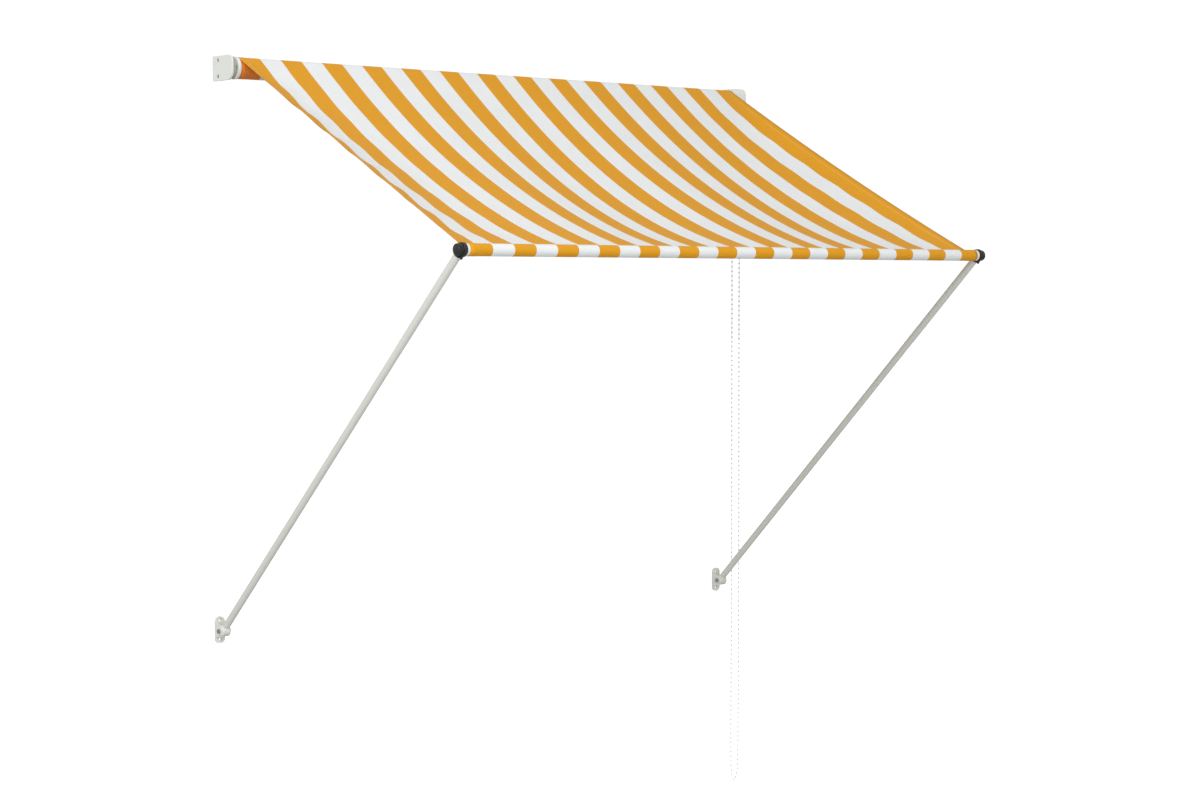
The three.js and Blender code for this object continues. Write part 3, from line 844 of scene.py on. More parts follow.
# ------------------------------------------------------------------------------------------ studio
@dataclass
class Studio:
    """A pale floor, a soft white surround, two soft lights and the camera."""

    view_turn: float = math.radians(-40.19)
    view_dip: float = math.radians(2.6)
    distance: float = 5.686
    aim_right: float = -0.0234
    aim_up: float = 0.1298
    lens: float = 75.82
    floor_gap: float = 0.06
    floor_size: float = 80.0
    floor_seen: float = 0.95
    floor_shade: float = 0.5
    floor_glow: float = 0.6
    surround_light: float = 0.64
    surround_seen_more: float = 0.40

    def camera(self) -> None:
        """Stands the camera in front and to the left, looking slightly down."""
        turn = Matrix.Rotation(self.view_turn, 4, "Z") @ Matrix.Rotation(math.pi / 2 - self.view_dip, 4, "X")
        right, up, back = (turn.to_3x3() @ Vector(axis) for axis in ((1, 0, 0), (0, 1, 0), (0, 0, 1)))
        low, high = CAD_BOX
        aim = (low + high) / 2 + right * self.aim_right + up * self.aim_up
        data = bpy.data.cameras.new("camera")
        data.lens = self.lens
        camera = linked("camera", data)
        camera.matrix_world = Matrix.Translation(aim + back * self.distance) @ turn
        bpy.context.scene.camera = camera

    def surround(self) -> None:
        """Makes the white surround, which looks whiter than it lights."""
        world = bpy.data.worlds.new("surround")
        world.use_nodes = True
        sheet = NodeSheet(world.node_tree)
        world.node_tree.nodes.clear()
        seen = sheet.add("ShaderNodeLightPath").outputs["Is Camera Ray"]
        strength = sheet.math("MULTIPLY_ADD", seen, self.surround_seen_more, self.surround_light)
        light = sheet.add("ShaderNodeBackground", {"Color": (1, 1, 1, 1), "Strength": strength})
        sheet.add("ShaderNodeOutputWorld", {"Surface": light.outputs[0]})
        bpy.context.scene.world = world
        bpy.context.scene.view_settings.view_transform = "Standard"

    def floor(self) -> None:
        """Lays the floor just below the lowest point."""
        body = bmesh.new()
        bmesh.ops.create_grid(body, x_segments=1, y_segments=1, size=self.floor_size / 2)
        level = CAD_BOX[0].z - self.floor_gap
        bmesh.ops.translate(body, verts=body.verts, vec=(0, 0, level))
        mesh = bpy.data.meshes.new("floor")
        body.to_mesh(mesh)
        body.free()
        floor = linked("floor", mesh)
        pale, sheet, shader = new_material("pale floor")
        seen = sheet.add("ShaderNodeLightPath").outputs["Is Camera Ray"]
        shades = ((grey, grey, grey) for grey in (self.floor_shade, self.floor_seen))
        sheet.feed(shader.inputs["Base Color"], sheet.mix(seen, *shades))
        sheet.feed(shader.inputs["Emission Strength"], sheet.math("MULTIPLY", seen, self.floor_glow))
        shader.inputs["Emission Color"].default_value = (1, 1, 1, 1)
        shader.inputs["Roughness"].default_value = 0.9
        mesh.materials.append(pale)

    def softbox(self, name: str, place: Vector, size: float, power: float) -> None:
        """Hangs a square soft light that looks at the middle of the awning.

        Args:
            name: the light's name.
            place: where it hangs, from the middle of the awning.
            size: the side of the square.
            power: its power in watts.
        """
        data = bpy.data.lights.new(name, "AREA")
        data.size = size
        data.energy = power
        lamp = linked(name, data)
        centre = (CAD_BOX[0] + CAD_BOX[1]) / 2
        facing = place.to_track_quat("Z", "Y").to_matrix().to_4x4()
        lamp.matrix_world = Matrix.Translation(centre + place) @ facing

    def lights(self) -> None:
        """Hangs the key light high on the left, and a weaker fill low in front."""
        self.softbox("key", Vector((-4.6, -2.4, 3.0)), 2.4, 155)
        self.softbox("fill", Vector((-1.2, -5.2, 0.4)), 3.0, 75)

    def build(self) -> None:
        """Sets up the studio."""
        self.camera()
        self.surround()
        self.floor()
        self.lights()


# ------------------------------------------------------------------------------------------ bead chain
@dataclass
class BeadChain:
    """The endless chain: moulded beads on a thin cord, over the drive wheel and down in one long loop."""

    pitch: float = 0.012
    bead: float = 0.0045
    cord: float = 0.0012
    wheel: float = 0.0134
    length: float = 3.53
    plane: float = middle("bead_chain").x

    def free_run(self) -> list[Point2]:
        """The route of the loop below the housing, as Y and Z in metres."""
        return [
            (-0.0754, -0.0273), (-0.0754, -0.061), (-0.0753, -0.151), (-0.0751, -0.301), (-0.0750, -0.501),
            (-0.0752, -0.701), (-0.0756, -0.901), (-0.0760, -1.101), (-0.0762, -1.301), (-0.0758, -1.481),
            (-0.0750, -1.601), (-0.0738, -1.681), (-0.0714, -1.717), (-0.0666, -1.735), (-0.0600, -1.741),
            (-0.0538, -1.735), (-0.0500, -1.718), (-0.0486, -1.683), (-0.0482, -1.601), (-0.0486, -1.481),
            (-0.0492, -1.301), (-0.0494, -1.101), (-0.0492, -0.901), (-0.0488, -0.701), (-0.0486, -0.501),
            (-0.0485, -0.301), (-0.0486, -0.151), (-0.0486, -0.061), (-0.0486, -0.0273),
        ]  # fmt: skip

    def route(self) -> list[Vector]:
        """The whole route: from the front of the drive wheel, down, round and up again.

        Returns:
            Points in the frame.
        """
        front = (ROLLER_AXIS.y - self.wheel, ROLLER_AXIS.z)
        back = (ROLLER_AXIS.y + self.wheel, ROLLER_AXIS.z)
        return [Vector((self.plane, y, z)) for y, z in (front, *self.free_run(), back)]

    def curve(self, points: Sequence[Vector], thickness: float) -> bpy.types.Object:
        """Lays a smooth curve through points.

        Args:
            points: the points.
            thickness: the curve's own radius, or 0 for a bare line.

        Returns:
            The curve's object.
        """
        data = bpy.data.curves.new("cord", "CURVE")
        data.dimensions = "3D"
        data.resolution_u = 10
        data.bevel_depth = thickness
        data.bevel_resolution = 1
        data.use_fill_caps = True
        spline = data.splines.new("BEZIER")
        spline.bezier_points.add(len(points) - 1)
        for knot, point in zip(spline.bezier_points, points):
            knot.co = point
            knot.handle_left_type = knot.handle_right_type = "AUTO"
        return linked("cord", data)

    def line(self) -> list[Vector]:
        """The route as a fine line.

        Returns:
            Its points, a few millimetres apart.
        """
        laid = self.curve(self.route(), 0)
        body = evaluated(laid)
        points = [vertex.co.copy() for vertex in body.verts]
        body.free()
        discard(laid)
        return points

    def bead_places(self, line: Sequence[Vector]) -> list[Vector]:
        """Spaces the beads evenly along the line.

        Args:
            line: the fine line.

        Returns:
            The beads' centres.
        """
        places, gone, due = [], 0.0, self.pitch / 2
        for start, end in zip(line, line[1:]):
            step = (end - start).length
            while due <= gone + step:
                places.append(start.lerp(end, (due - gone) / step))
                due += self.pitch
            gone += step
        return places

    def build(self) -> None:
        line = self.line()
        laid = self.curve(self.route(), self.cord / 2)
        body = evaluated(laid)
        discard(laid)
        bmesh.ops.remove_doubles(body, verts=body.verts, dist=MERGE)
        for place in self.bead_places(line):
            bmesh.ops.create_uvsphere(
                body, u_segments=10, v_segments=7, radius=self.bead / 2, matrix=Matrix.Translation(place)
            )
        bmesh.ops.recalc_face_normals(body, faces=body.faces)
        chain = stand_in(body, "bead_chain", CHAIN_RESIN, "wall_frame", "loop")


# ------------------------------------------------------------------------------------------ cloth
@dataclass
class ClothSection:
    """The cloth seen from the side at one place across its width.

    It leaves the roll, hangs to a seam just behind the front bar, goes round the bar and is sewn back
    under itself. Distances across are measured from the left hem.
    """

    across: float
    width: float
    roll_radius: float = 0.0233
    bar_radius: float = 0.0122
    tuck: float = 0.0009
    sag: float = 0.0585
    belly: float = 0.0074
    belly_middle: float = 0.699
    belly_reach: float = 0.26
    right_hem_sag: float = 0.010
    hem_reach: float = 0.094
    hem_reach_at_ends: float = 0.015
    reach_share: float = 0.55
    reach_growth: float = 0.9
    wave: float = 0.0042
    wave_start: float = 0.280
    wave_pitch: float = 0.507
    pucker: float = 0.0021
    pucker_reach: float = 0.05
    puckers_along: float = 7.6
    pucker_slant: float = 3.0
    roll_turn: float = math.radians(372)
    seam: float = 0.0185
    allowance: float = 0.016
    fold_gap: float = 0.0011

    def __post_init__(self) -> None:
        """Finds where the cloth leaves the roll and where its seam behind the bar lies."""
        step = 0.001
        near, far = self.hang(step) / step, self.hang(1 - step) / step
        roller, bar = (Vector((axis.y, axis.z)) for axis in (ROLLER_AXIS, BAR_AXIS))
        self.start, self.end = roller, bar
        for _ in range(4):
            self.run, self.drop = self.start - self.end
            self.leave = math.atan((self.drop + near) / self.run)
            self.meet = math.atan((self.drop - far) / self.run)
            self.start = roller + self.out(self.leave) * self.roll_radius
            self.end = bar + Vector((math.cos(self.meet), math.sin(self.meet))) * self.seam
        self.run, self.drop = self.start - self.end
        self.splay = math.asin(self.bar_radius / self.seam)

    @staticmethod
    def out(angle: float) -> Vector:
        """The direction out of a round at an angle from its top towards the front."""
        return Vector((-math.sin(angle), math.cos(angle)))

    def hang(self, s: float) -> float:
        """How far the cloth hangs below a straight line, s of the way to the bar."""
        bow = 4 * s * (1 - s)
        grown = bow * (self.reach_share + self.reach_growth * s)
        reach = self.hem_reach_at_ends + (self.hem_reach - self.hem_reach_at_ends) * grown
        left, right = math.exp(-self.across / reach), math.exp((self.across - self.width) / reach)
        off_middle = (self.across - self.belly_middle) / self.belly_reach
        deep = self.sag + self.belly * math.exp(-(off_middle**2))
        return bow * (deep * (1 - left) * (1 - right) + self.right_hem_sag * right)

    def ripple(self, s: float) -> float:
        """How far slack waves lift the cloth, none at the roll, the bar and the hems."""
        strongest_low = 6.75 * s * s * (1 - s)
        along_wave = math.tau * (self.across - self.wave_start) / self.wave_pitch
        broad = self.wave * math.sin(along_wave) * strongest_low
        from_left, from_right = (edge / self.pucker_reach for edge in (self.across, self.width - self.across))
        slack = from_left * math.exp(1 - from_left) + 0.5 * from_right * math.exp(1 - from_right)
        phase = self.puckers_along * s + self.pucker_slant * self.across
        puckers = self.pucker * slack * math.sin(math.tau * phase)
        return broad * min(1, from_left / 2, from_right / 2) + puckers * min(1, 12 * s * (1 - s))

    def span(self, s: float) -> Vector:
        """The middle of the cloth's thickness, s of the way from the roll to the seam."""
        fall = self.drop * s + self.hang(s) - self.ripple(s)
        return self.start - Vector((self.run * s, fall))

    def slope(self, s: float) -> float:
        """How steeply the span falls at s, as an angle."""
        step = 0.001
        behind, ahead = self.span(max(0, s - step)), self.span(min(1, s + step))
        return math.atan2(behind.y - ahead.y, behind.x - ahead.x)

    def on_roll(self, back: float) -> Vector:
        """A point of the outer turn, at an angle back from where the cloth leaves the roll."""
        radius = self.roll_radius - self.tuck * back / math.tau
        return Vector((ROLLER_AXIS.y, ROLLER_AXIS.z)) + self.out(self.leave - back) * radius

    def on_bar(self, turn: float) -> Vector:
        """A point round the front bar, at an angle forward from straight above the cloth's line."""
        return Vector((BAR_AXIS.y, BAR_AXIS.z)) + self.out(self.meet + turn) * self.bar_radius

    def under(self, back: float) -> Vector:
        """A point on the allowance under the cloth, at a distance back from the seam."""
        s = 1 - back / math.hypot(self.run, self.drop)
        return self.span(s) - self.out(self.slope(s)) * self.fold_gap

    def sleeve(self) -> list[Vector]:
        """The sleeve from the seam over the bar, round its front and back to the seam from below.

        Returns:
            Points as Y and Z.
        """
        first = -self.splay
        over, last = self.on_bar(first), self.on_bar(math.pi - first)
        upper = [self.end.lerp(over, i / 5) for i in range(1, 5)]
        round_bar = [self.on_bar(first + (math.pi - 2 * first) * i / 28) for i in range(29)]
        lower = [last.lerp(self.under(0), i / 5) for i in range(1, 5)]
        return upper + round_bar + lower

    def rows(self) -> list[Vector]:
        """The whole section, from the tucked end on the roll to the allowance's edge under the cloth.

        Returns:
            Points as Y and Z, the same number at every place across.
        """
        turn = [self.on_roll(self.roll_turn * (1 - i / 54)) for i in range(54)]
        span = [self.span(i / 80) for i in range(81)]
        fold = [self.under(self.allowance * i / 4) for i in range(5)]
        return turn + span + self.sleeve() + fold


@dataclass
class Cloth:
    """The striped cloth: the sheet, the turns under it on the roller, the sleeve's lining and stitches."""

    columns_per_stripe: int = 6
    stripes: int = 27
    thickness: float = 0.0006
    hem_thickness: float = 0.0013
    hem_columns: int = 2
    blend_lead: float = 0.15
    stitch: float = 0.0026
    stitch_pitch: float = 0.0038
    seam_stitches: float = 0.0025
    thread: float = 0.0005

    def __post_init__(self) -> None:
        """Reads the cloth's edges from the model."""
        low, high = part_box("canopy")
        self.left, self.right = low.x, high.x
        self.width = self.right - self.left

    def section(self, across: float) -> ClothSection:
        """The section at a distance from the left hem."""
        return ClothSection(across, self.width)

    def place(self, section: ClothSection, at: Vector) -> Vector:
        """A point of a section, in the frame."""
        return Vector((self.left + section.across, at.x, at.y))

    def sheet_body(self) -> tuple[bmesh.types.BMesh, float]:
        """Lays a grid along the cloth's sections.

        Returns:
            The sheet with no thickness, with its UV map in metres, and its length at the middle.
        """
        columns = self.columns_per_stripe * self.stripes
        sections = [self.section(self.width * i / columns) for i in range(columns + 1)]
        outlines = [section.rows() for section in sections]
        steps = len(outlines[0]) - 1
        lengths = []
        for rows in outlines:
            gone = [0.0]
            for first, second in zip(rows, rows[1:]):
                gone.append(gone[-1] + (second - first).length)
            lengths.append(gone)
        body = bmesh.new()
        bmesh.ops.create_grid(body, x_segments=columns, y_segments=steps, size=0.5)
        spots = {}
        for vertex in body.verts:
            column, row = round((vertex.co.x + 0.5) * columns), round((vertex.co.y + 0.5) * steps)
            vertex.co = self.place(sections[column], outlines[column][row])
            spots[vertex] = (sections[column].across, lengths[column][row])
        layer = body.loops.layers.uv.new(CLOTH_UV)
        for face in body.faces:
            for loop in face.loops:
                loop[layer].uv = spots[loop.vert]
        bmesh.ops.recalc_face_normals(body, faces=body.faces)
        return body, lengths[columns // 2][-1]

    def thicken(self, piece: bpy.types.Object) -> None:
        """Gives the sheet its thickness, doubled along the sewn side hems.

        Args:
            piece: the sheet's object.
        """
        hems = piece.vertex_groups.new(name="hems")
        edge = self.width / (self.columns_per_stripe * self.stripes) * (self.hem_columns + 0.5)
        for vertex in piece.data.vertices:
            in_hem = min(vertex.co.x - self.left, self.right - vertex.co.x) < edge
            hems.add([vertex.index], 1.0 if in_hem else self.thickness / self.hem_thickness, "REPLACE")
        solidify = piece.modifiers.new("thickness", "SOLIDIFY")
        solidify.thickness = self.hem_thickness
        solidify.offset = 0
        solidify.vertex_group = hems.name
        graph = bpy.context.evaluated_depsgraph_get()
        piece.data = bpy.data.meshes.new_from_object(piece.evaluated_get(graph))
        piece.modifiers.clear()
        piece.vertex_groups.clear()

    def blend(self, piece: bpy.types.Object) -> None:
        """Bakes a piece's transform into its mesh."""
        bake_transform(piece)

    def sheet(self) -> bpy.types.Object:
        """Makes the sheet, one continuous cloth.

        Returns:
            The sheet.
        """
        body, length = self.sheet_body()
        piece = new_piece(body, "canopy_cloth", AWNING_CLOTH, even=False)
        self.thicken(piece)
        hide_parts("canopy")
        self.blend(piece)
        return piece

    def stitch_places(self) -> list[Matrix]:
        """Finds the place of every stitch: along both side hems, and across the seam behind the bar.

        Returns:
            For each stitch a matrix with Z along it and Y out of the cloth's upper face.
        """
        places = []
        inset = self.width / (self.columns_per_stripe * self.stripes) * self.hem_columns * 0.8
        for across in (inset, self.width - inset):
            section = self.section(across)
            count = int(math.hypot(section.run, section.drop) / self.stitch_pitch)
            for i in range(1, count):
                s = i / count
                tilt = section.slope(s)
                along, out = Vector((0, -math.cos(tilt), -math.sin(tilt))), self.out_of_cloth(tilt)
                places.append(self.turned_to(self.place(section, section.span(s)), along, out))
        count = int(self.width / self.stitch_pitch)
        for i in range(1, count):
            section = self.section(self.width * i / count)
            s = 1 - self.seam_stitches / math.hypot(section.run, section.drop)
            out = self.out_of_cloth(section.slope(s))
            places.append(self.turned_to(self.place(section, section.span(s)), Vector((1, 0, 0)), out))
        return places

    @staticmethod
    def out_of_cloth(tilt: float) -> Vector:
        """The direction out of the upper face of cloth that falls at an angle."""
        return Vector((0, -math.sin(tilt), math.cos(tilt)))

    @staticmethod
    def turned_to(spot: Vector, along: Vector, out: Vector) -> Matrix:
        """A matrix at a spot with Z along one direction and Y along another."""
        axes = Matrix((out.cross(along), out, along)).transposed()
        return Matrix.Translation(spot) @ axes.to_4x4()

    def stitches(self) -> None:
        """Sews the hems: short round stitches, on both faces of the cloth."""
        body = bmesh.new()
        lift = self.hem_thickness / 2
        for place in self.stitch_places():
            for face in (lift, -lift):
                bmesh.ops.create_cone(
                    body, cap_ends=True, segments=5, radius1=self.thread / 2, radius2=self.thread / 2,
                    depth=self.stitch, matrix=place @ Matrix.Translation((0, face, 0)),
                )  # fmt: skip
        piece = new_piece(body, "hem_stitches", SEWING_THREAD, even=False)
        self.blend(piece)

    def around(self, node: str, rides: str, outer: float, inner: float, axis: Vector, suffix: str) -> None:
        """Makes a closed roll of cloth round a tube, with the stripes going round it.

        Args:
            node: the CAD node it stands for.
            rides: the body it rides on.
            outer: its outer radius.
            inner: its inner radius.
            axis: a point on its axis.
            suffix: what follows the node's name in the piece's.
        """
        low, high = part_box(node)
        body = ring(outer, inner, low.x, high.x, axis, sides=72)
        long_edges = [edge for edge in body.edges if abs(edge.verts[0].co.x - edge.verts[1].co.x) > 1e-4]
        bmesh.ops.subdivide_edges(body, edges=long_edges, cuts=self.stripes - 1, use_grid_fill=True)
        layer = body.loops.layers.uv.new(CLOTH_UV)
        for face in body.faces:
            angles = [math.atan2(loop.vert.co.z - axis.z, loop.vert.co.y - axis.y) for loop in face.loops]
            wraps = max(angles) - min(angles) > math.pi
            for loop, angle in zip(face.loops, angles):
                turn = angle + (math.tau if wraps and angle < 0 else 0)
                loop[layer].uv = (loop.vert.co.x - self.left, turn * outer)
        stand_in(body, node, AWNING_CLOTH, rides, suffix)

    def build(self) -> None:
        """Makes all of the cloth."""
        self.sheet()
        self.stitches()
        # The turns lie mostly within the cloth's painted-shade stretch of its UV length, so most of the roll
        # is in painted shade.
        self.around("roller_cloth", "roller", 0.0215, 0.0193, ROLLER_AXIS, "turns")
        self.around("hem_sleeve", "front_bar", 0.0114, 0.01125, BAR_AXIS, "lining")


# ------------------------------------------------------------------------------------------ fasteners
@dataclass
class CrossScrew:
    """A pan-head screw with a cross recess, lying along X with its head outward."""

    node: str
    outward: Side
    head: float = 0.0034
    shank: float = 0.0017
    head_height: float = 0.0018
    slot_long: float = 0.0038
    slot_wide: float = 0.0009
    slot_deep: float = 0.0010
    crown: float = 0.0006
    crown_rise: float = 0.0002
    crown_share: float = 0.75

    def build(self) -> None:
        """Makes the screw."""
        centre, sign = middle(self.node), self.outward.value
        tip, top = ends(self.node, self.outward)
        seat = top - sign * self.head_height
        profile = [(tip, 0), (tip, self.shank), (seat, self.shank), (seat, self.head)]
        profile += [(top - sign * self.crown, self.head)]
        profile += [(top - sign * self.crown_rise, self.head * self.crown_share), (top, 0)]
        body = turned(profile, centre, 32)
        floor = top - sign * self.slot_deep
        x0, x1 = sorted((floor, top + sign * self.slot_deep))
        bars = [
            block((x0, centre.y - y / 2, centre.z - z / 2), (x1, centre.y + y / 2, centre.z + z / 2))
            for y, z in ((self.slot_long, self.slot_wide), (self.slot_wide, self.slot_long))
        ]
        body = combined(body, Joining.CUT, *bars)
        stand_in(body, self.node, ZINC_STEEL, "wall_frame")


# ------------------------------------------------------------------------------------------ brackets
NOSE_TOP = 0.016
NOSE_UNDER = 0.018
NOSE_ARC = 14
PAST = 0.015


@dataclass
class RollerBracket:
    """One end's wall bracket: the wall base, and the cheek that is screwed to its side."""

    side: Side
    back: float = 0.0015
    nose_top: float = NOSE_TOP
    nose_under: float = NOSE_UNDER
    screw_seat: float = 0.0038
    screw_seat_depth: float = 0.0023
    screw_hole: float = 0.0021
    pin_seat: float = 0.0053
    pin_floor: float = 0.001
    flange: float = 0.004
    lug: float = 0.006
    wall_hole: float = 0.0028
    wall_hole_spacing: float = 0.030

    def __post_init__(self) -> None:
        """Names the bracket's nodes and finds its screws."""
        self.cheek_node = f"{self.side.word}_side_cheek"
        self.base_node = f"{self.side.word}_wall_base"
        self.screw_nodes = [f"{self.side.word}_side_screw_{number}" for number in (1, 2)]
        self.screws = [middle(node) for node in self.screw_nodes]

    def cheek(self) -> None:
        """Makes the cheek: a flat side with a rounded nose, sunk seats for its screws and a pin seat."""
        low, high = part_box(self.cheek_node)
        sign = self.side.value
        outline = nosed_outline(low, high, self.back, self.nose_top, self.nose_under)
        body = plate(outline, low.x, high.x, Axis.ALONG_X, arc=NOSE_ARC)
        inner, outer = ends(self.cheek_node, self.side)
        cutters = []
        for spot in self.screws:
            cutters.append(rod(self.screw_hole, inner - sign * OVERSHOOT, outer + sign * OVERSHOOT, spot, 32))
            seat_floor = outer - sign * self.screw_seat_depth
            cutters.append(rod(self.screw_seat, seat_floor, outer + sign * OVERSHOOT, spot, 40))
        pin_end = outer - sign * self.pin_floor
        cutters.append(rod(self.pin_seat, inner - sign * OVERSHOOT, pin_end, ROLLER_AXIS, 40))
        body = soften(combined(body, Joining.CUT, *cutters), 0.0007, 3)
        stand_in(body, self.cheek_node, BRACKET_PAINT, "wall_frame")

    def base(self) -> None:
        """Makes the wall base: a flange on the wall and a lug behind the cheek."""
        low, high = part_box(self.base_node)
        sign = self.side.value
        inner, outer = ends(self.base_node, self.side)
        lug_x = sorted((outer, outer - sign * self.lug))
        flange = block((low.x, high.y - self.flange, low.z), high)
        lug = block((lug_x[0], low.y, low.z), (lug_x[1], high.y - self.flange / 2, high.z))
        body = combined(flange, Joining.FUSE, lug)
        hole_x = (inner + outer - sign * self.lug) / 2
        level = (low.z + high.z) / 2
        cutters = []
        for end in (-1, 1):
            spot = Vector((hole_x, 0, level + end * self.wall_hole_spacing / 2))
            cutters.append(rod_off_wall(self.wall_hole, high.y + PAST, high.y - PAST, spot, 32))
        for spot in self.screws:
            cutters.append(rod(self.screw_hole, lug_x[0] - OVERSHOOT, lug_x[1] + OVERSHOOT, spot, 32))
        body = soften(combined(body, Joining.CUT, *cutters), 0.0004)
        stand_in(body, self.base_node, BRACKET_PAINT, "wall_frame")

    def build(self) -> None:
        """Makes the bracket and its screws."""
        self.cheek()
        self.base()
        for node in self.screw_nodes:
            CrossScrew(node, self.side).build()


# ------------------------------------------------------------------------------------------ roller ends
@dataclass
class RollerEnds:
    """The white plugs in the roller's ends and the drive housing on the right."""

    neck: float = 0.0205
    flange: float = 0.0246
    flange_from: float = 0.0072
    flange_thickness: float = 0.007
    spigot: float = 0.0175
    rim: float = 0.0012
    idle_bore: float = 0.0054
    slot_wide: float = 0.009
    slot_long: float = 0.0032
    slot_floor: float = 0.0175
    drive_bore: float = 0.0104
    housing_wall: float = 0.003
    cavity: float = 0.0176
    mouth: float = 0.013
    chain_slot: float = 0.0036
    chain_slot_top: float = -0.007
    housing_back: float = 0.002

    def flange_profile(self, inner: float, outer: float) -> list[Point2]:
        """A flange's outline with a raised rim on its outer face.

        Args:
            inner: X of the face against the cloth.
            outer: X of the face away from it.

        Returns:
            Distances along X and radii, from the inner face to the outer one.
        """
        way = math.copysign(1, outer - inner)
        return [
            (inner, self.flange),
            (outer, self.flange),
            (outer, self.flange - self.rim),
            (outer - way * self.rim, self.flange - 2 * self.rim),
        ]

    def idle_plug(self) -> None:
        """Makes the left plug: a bearing neck in a darker grey that is painted shade from the cheek, with
        four moulding slots, a white flange and a spigot.
        """
        low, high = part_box("idle_plug")
        cloth_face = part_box("roller_tube")[0].x - 0.0003
        outer_face = cloth_face - self.flange_thickness
        profile = [(low.x, self.idle_bore), (low.x, self.neck)]
        profile += [(outer_face + self.rim, self.neck)]
        profile += list(reversed(self.flange_profile(cloth_face, outer_face)))
        profile += [(cloth_face, self.spigot), (high.x, self.spigot), (high.x, self.idle_bore)]
        body = turned(profile, ROLLER_AXIS, 96, closed=True)
        slot_x = (low.x + outer_face) / 2
        near, far, half = self.slot_floor, self.flange, self.slot_wide / 2
        cutters = []
        for quarter in range(4):
            cutter = block(
                (slot_x - self.slot_long / 2, -half, near), (slot_x + self.slot_long / 2, half, far)
            )
            turn = Matrix.Translation((0, ROLLER_AXIS.y, ROLLER_AXIS.z)) @ Matrix.Rotation(
                quarter * math.pi / 2, 4, "X"
            )
            bmesh.ops.transform(cutter, matrix=turn, verts=cutter.verts)
            cutters.append(cutter)
        body = soften(combined(body, Joining.CUT, *cutters), 0.0004)
        plug = stand_in(body, "idle_plug", WHITE_PLASTIC, "roller")
        # Painted shade: the neck's faces take the darker grey that stands in for the cheek's shadow.
        plug.data.materials.append(PAINTED_NECK_SHADE.material())
        for face in plug.data.polygons:
            face.material_index = int(face.center.x < outer_face)

    def drive_plug(self) -> None:
        """Makes the right plug: flange, spigot and the bore that the drive turns in."""
        low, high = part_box("drive_plug")
        cloth_face = high.x - self.flange_thickness
        profile = [(low.x, self.drive_bore), (low.x, self.spigot), (cloth_face, self.spigot)]
        profile += self.flange_profile(cloth_face, high.x)
        profile += [(high.x - self.rim, self.drive_bore)]
        body = soften(turned(profile, ROLLER_AXIS, 96, closed=True), 0.0004)
        stand_in(body, "drive_plug", WHITE_PLASTIC, "roller")

    def housing(self) -> None:
        """Makes the chain drive's housing, open towards the cheek, with two slots for the chain."""
        low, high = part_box("drive_housing")
        outline = nosed_outline(low, high, self.housing_back, NOSE_TOP, NOSE_UNDER)
        body = plate(outline, low.x, high.x, Axis.ALONG_X, arc=NOSE_ARC)
        chain = middle("bead_chain").x
        wheel = BeadChain().wheel
        cutters = [
            rod(self.cavity, low.x + self.housing_wall, high.x + OVERSHOOT, ROLLER_AXIS, 72),
            rod(self.mouth, low.x - OVERSHOOT, low.x + OVERSHOOT, ROLLER_AXIS, 64),
        ]
        for end in (-1, 1):
            y = ROLLER_AXIS.y + end * wheel
            reach = self.chain_slot
            corner = (chain + reach, y + reach, self.chain_slot_top)
            cutters.append(block((chain - reach, y - reach, low.z - OVERSHOOT), corner))
        body = soften(combined(body, Joining.CUT, *cutters), 0.0006)
        stand_in(body, "drive_housing", WHITE_PLASTIC, "wall_frame")

    def build(self) -> None:
        """Makes both plugs and the housing."""
        self.idle_plug()
        self.drive_plug()
        self.housing()


# ------------------------------------------------------------------------------------------ arms
@dataclass
class ArmFrame:
    """Where an arm stands: its pivot, its lean and its own axes, with Z along it."""

    side: Side
    offset: float = 0.0039

    def __post_init__(self) -> None:
        """Works the arm's length and lean out from its two axes."""
        self.pivot = joint_place(f"{self.side.word}_arm_swing")
        reach = BAR_AXIS - self.pivot
        self.length = math.sqrt(reach.y**2 + reach.z**2 - self.offset**2)
        self.lean = math.atan2(-reach.y, reach.z) + math.atan2(self.offset, self.length)

    def matrix(self) -> Matrix:
        """The matrix from the arm's own axes to the frame."""
        return Matrix.Translation(self.pivot) @ Matrix.Rotation(self.lean, 4, "X")

    def along(self, body: bmesh.types.BMesh) -> bmesh.types.BMesh:
        """Turns a body made along X about the origin into one along the arm's tube.

        Args:
            body: the body, whose X becomes the distance along the arm.

        Returns:
            The same body, in place.
        """
        stand = Matrix(((0, 0, -1, 0), (0, 1, 0, self.offset), (1, 0, 0, 0), (0, 0, 0, 1)))
        bmesh.ops.transform(body, matrix=self.matrix() @ stand, verts=body.verts)
        bmesh.ops.recalc_face_normals(body, faces=body.faces)
        return body


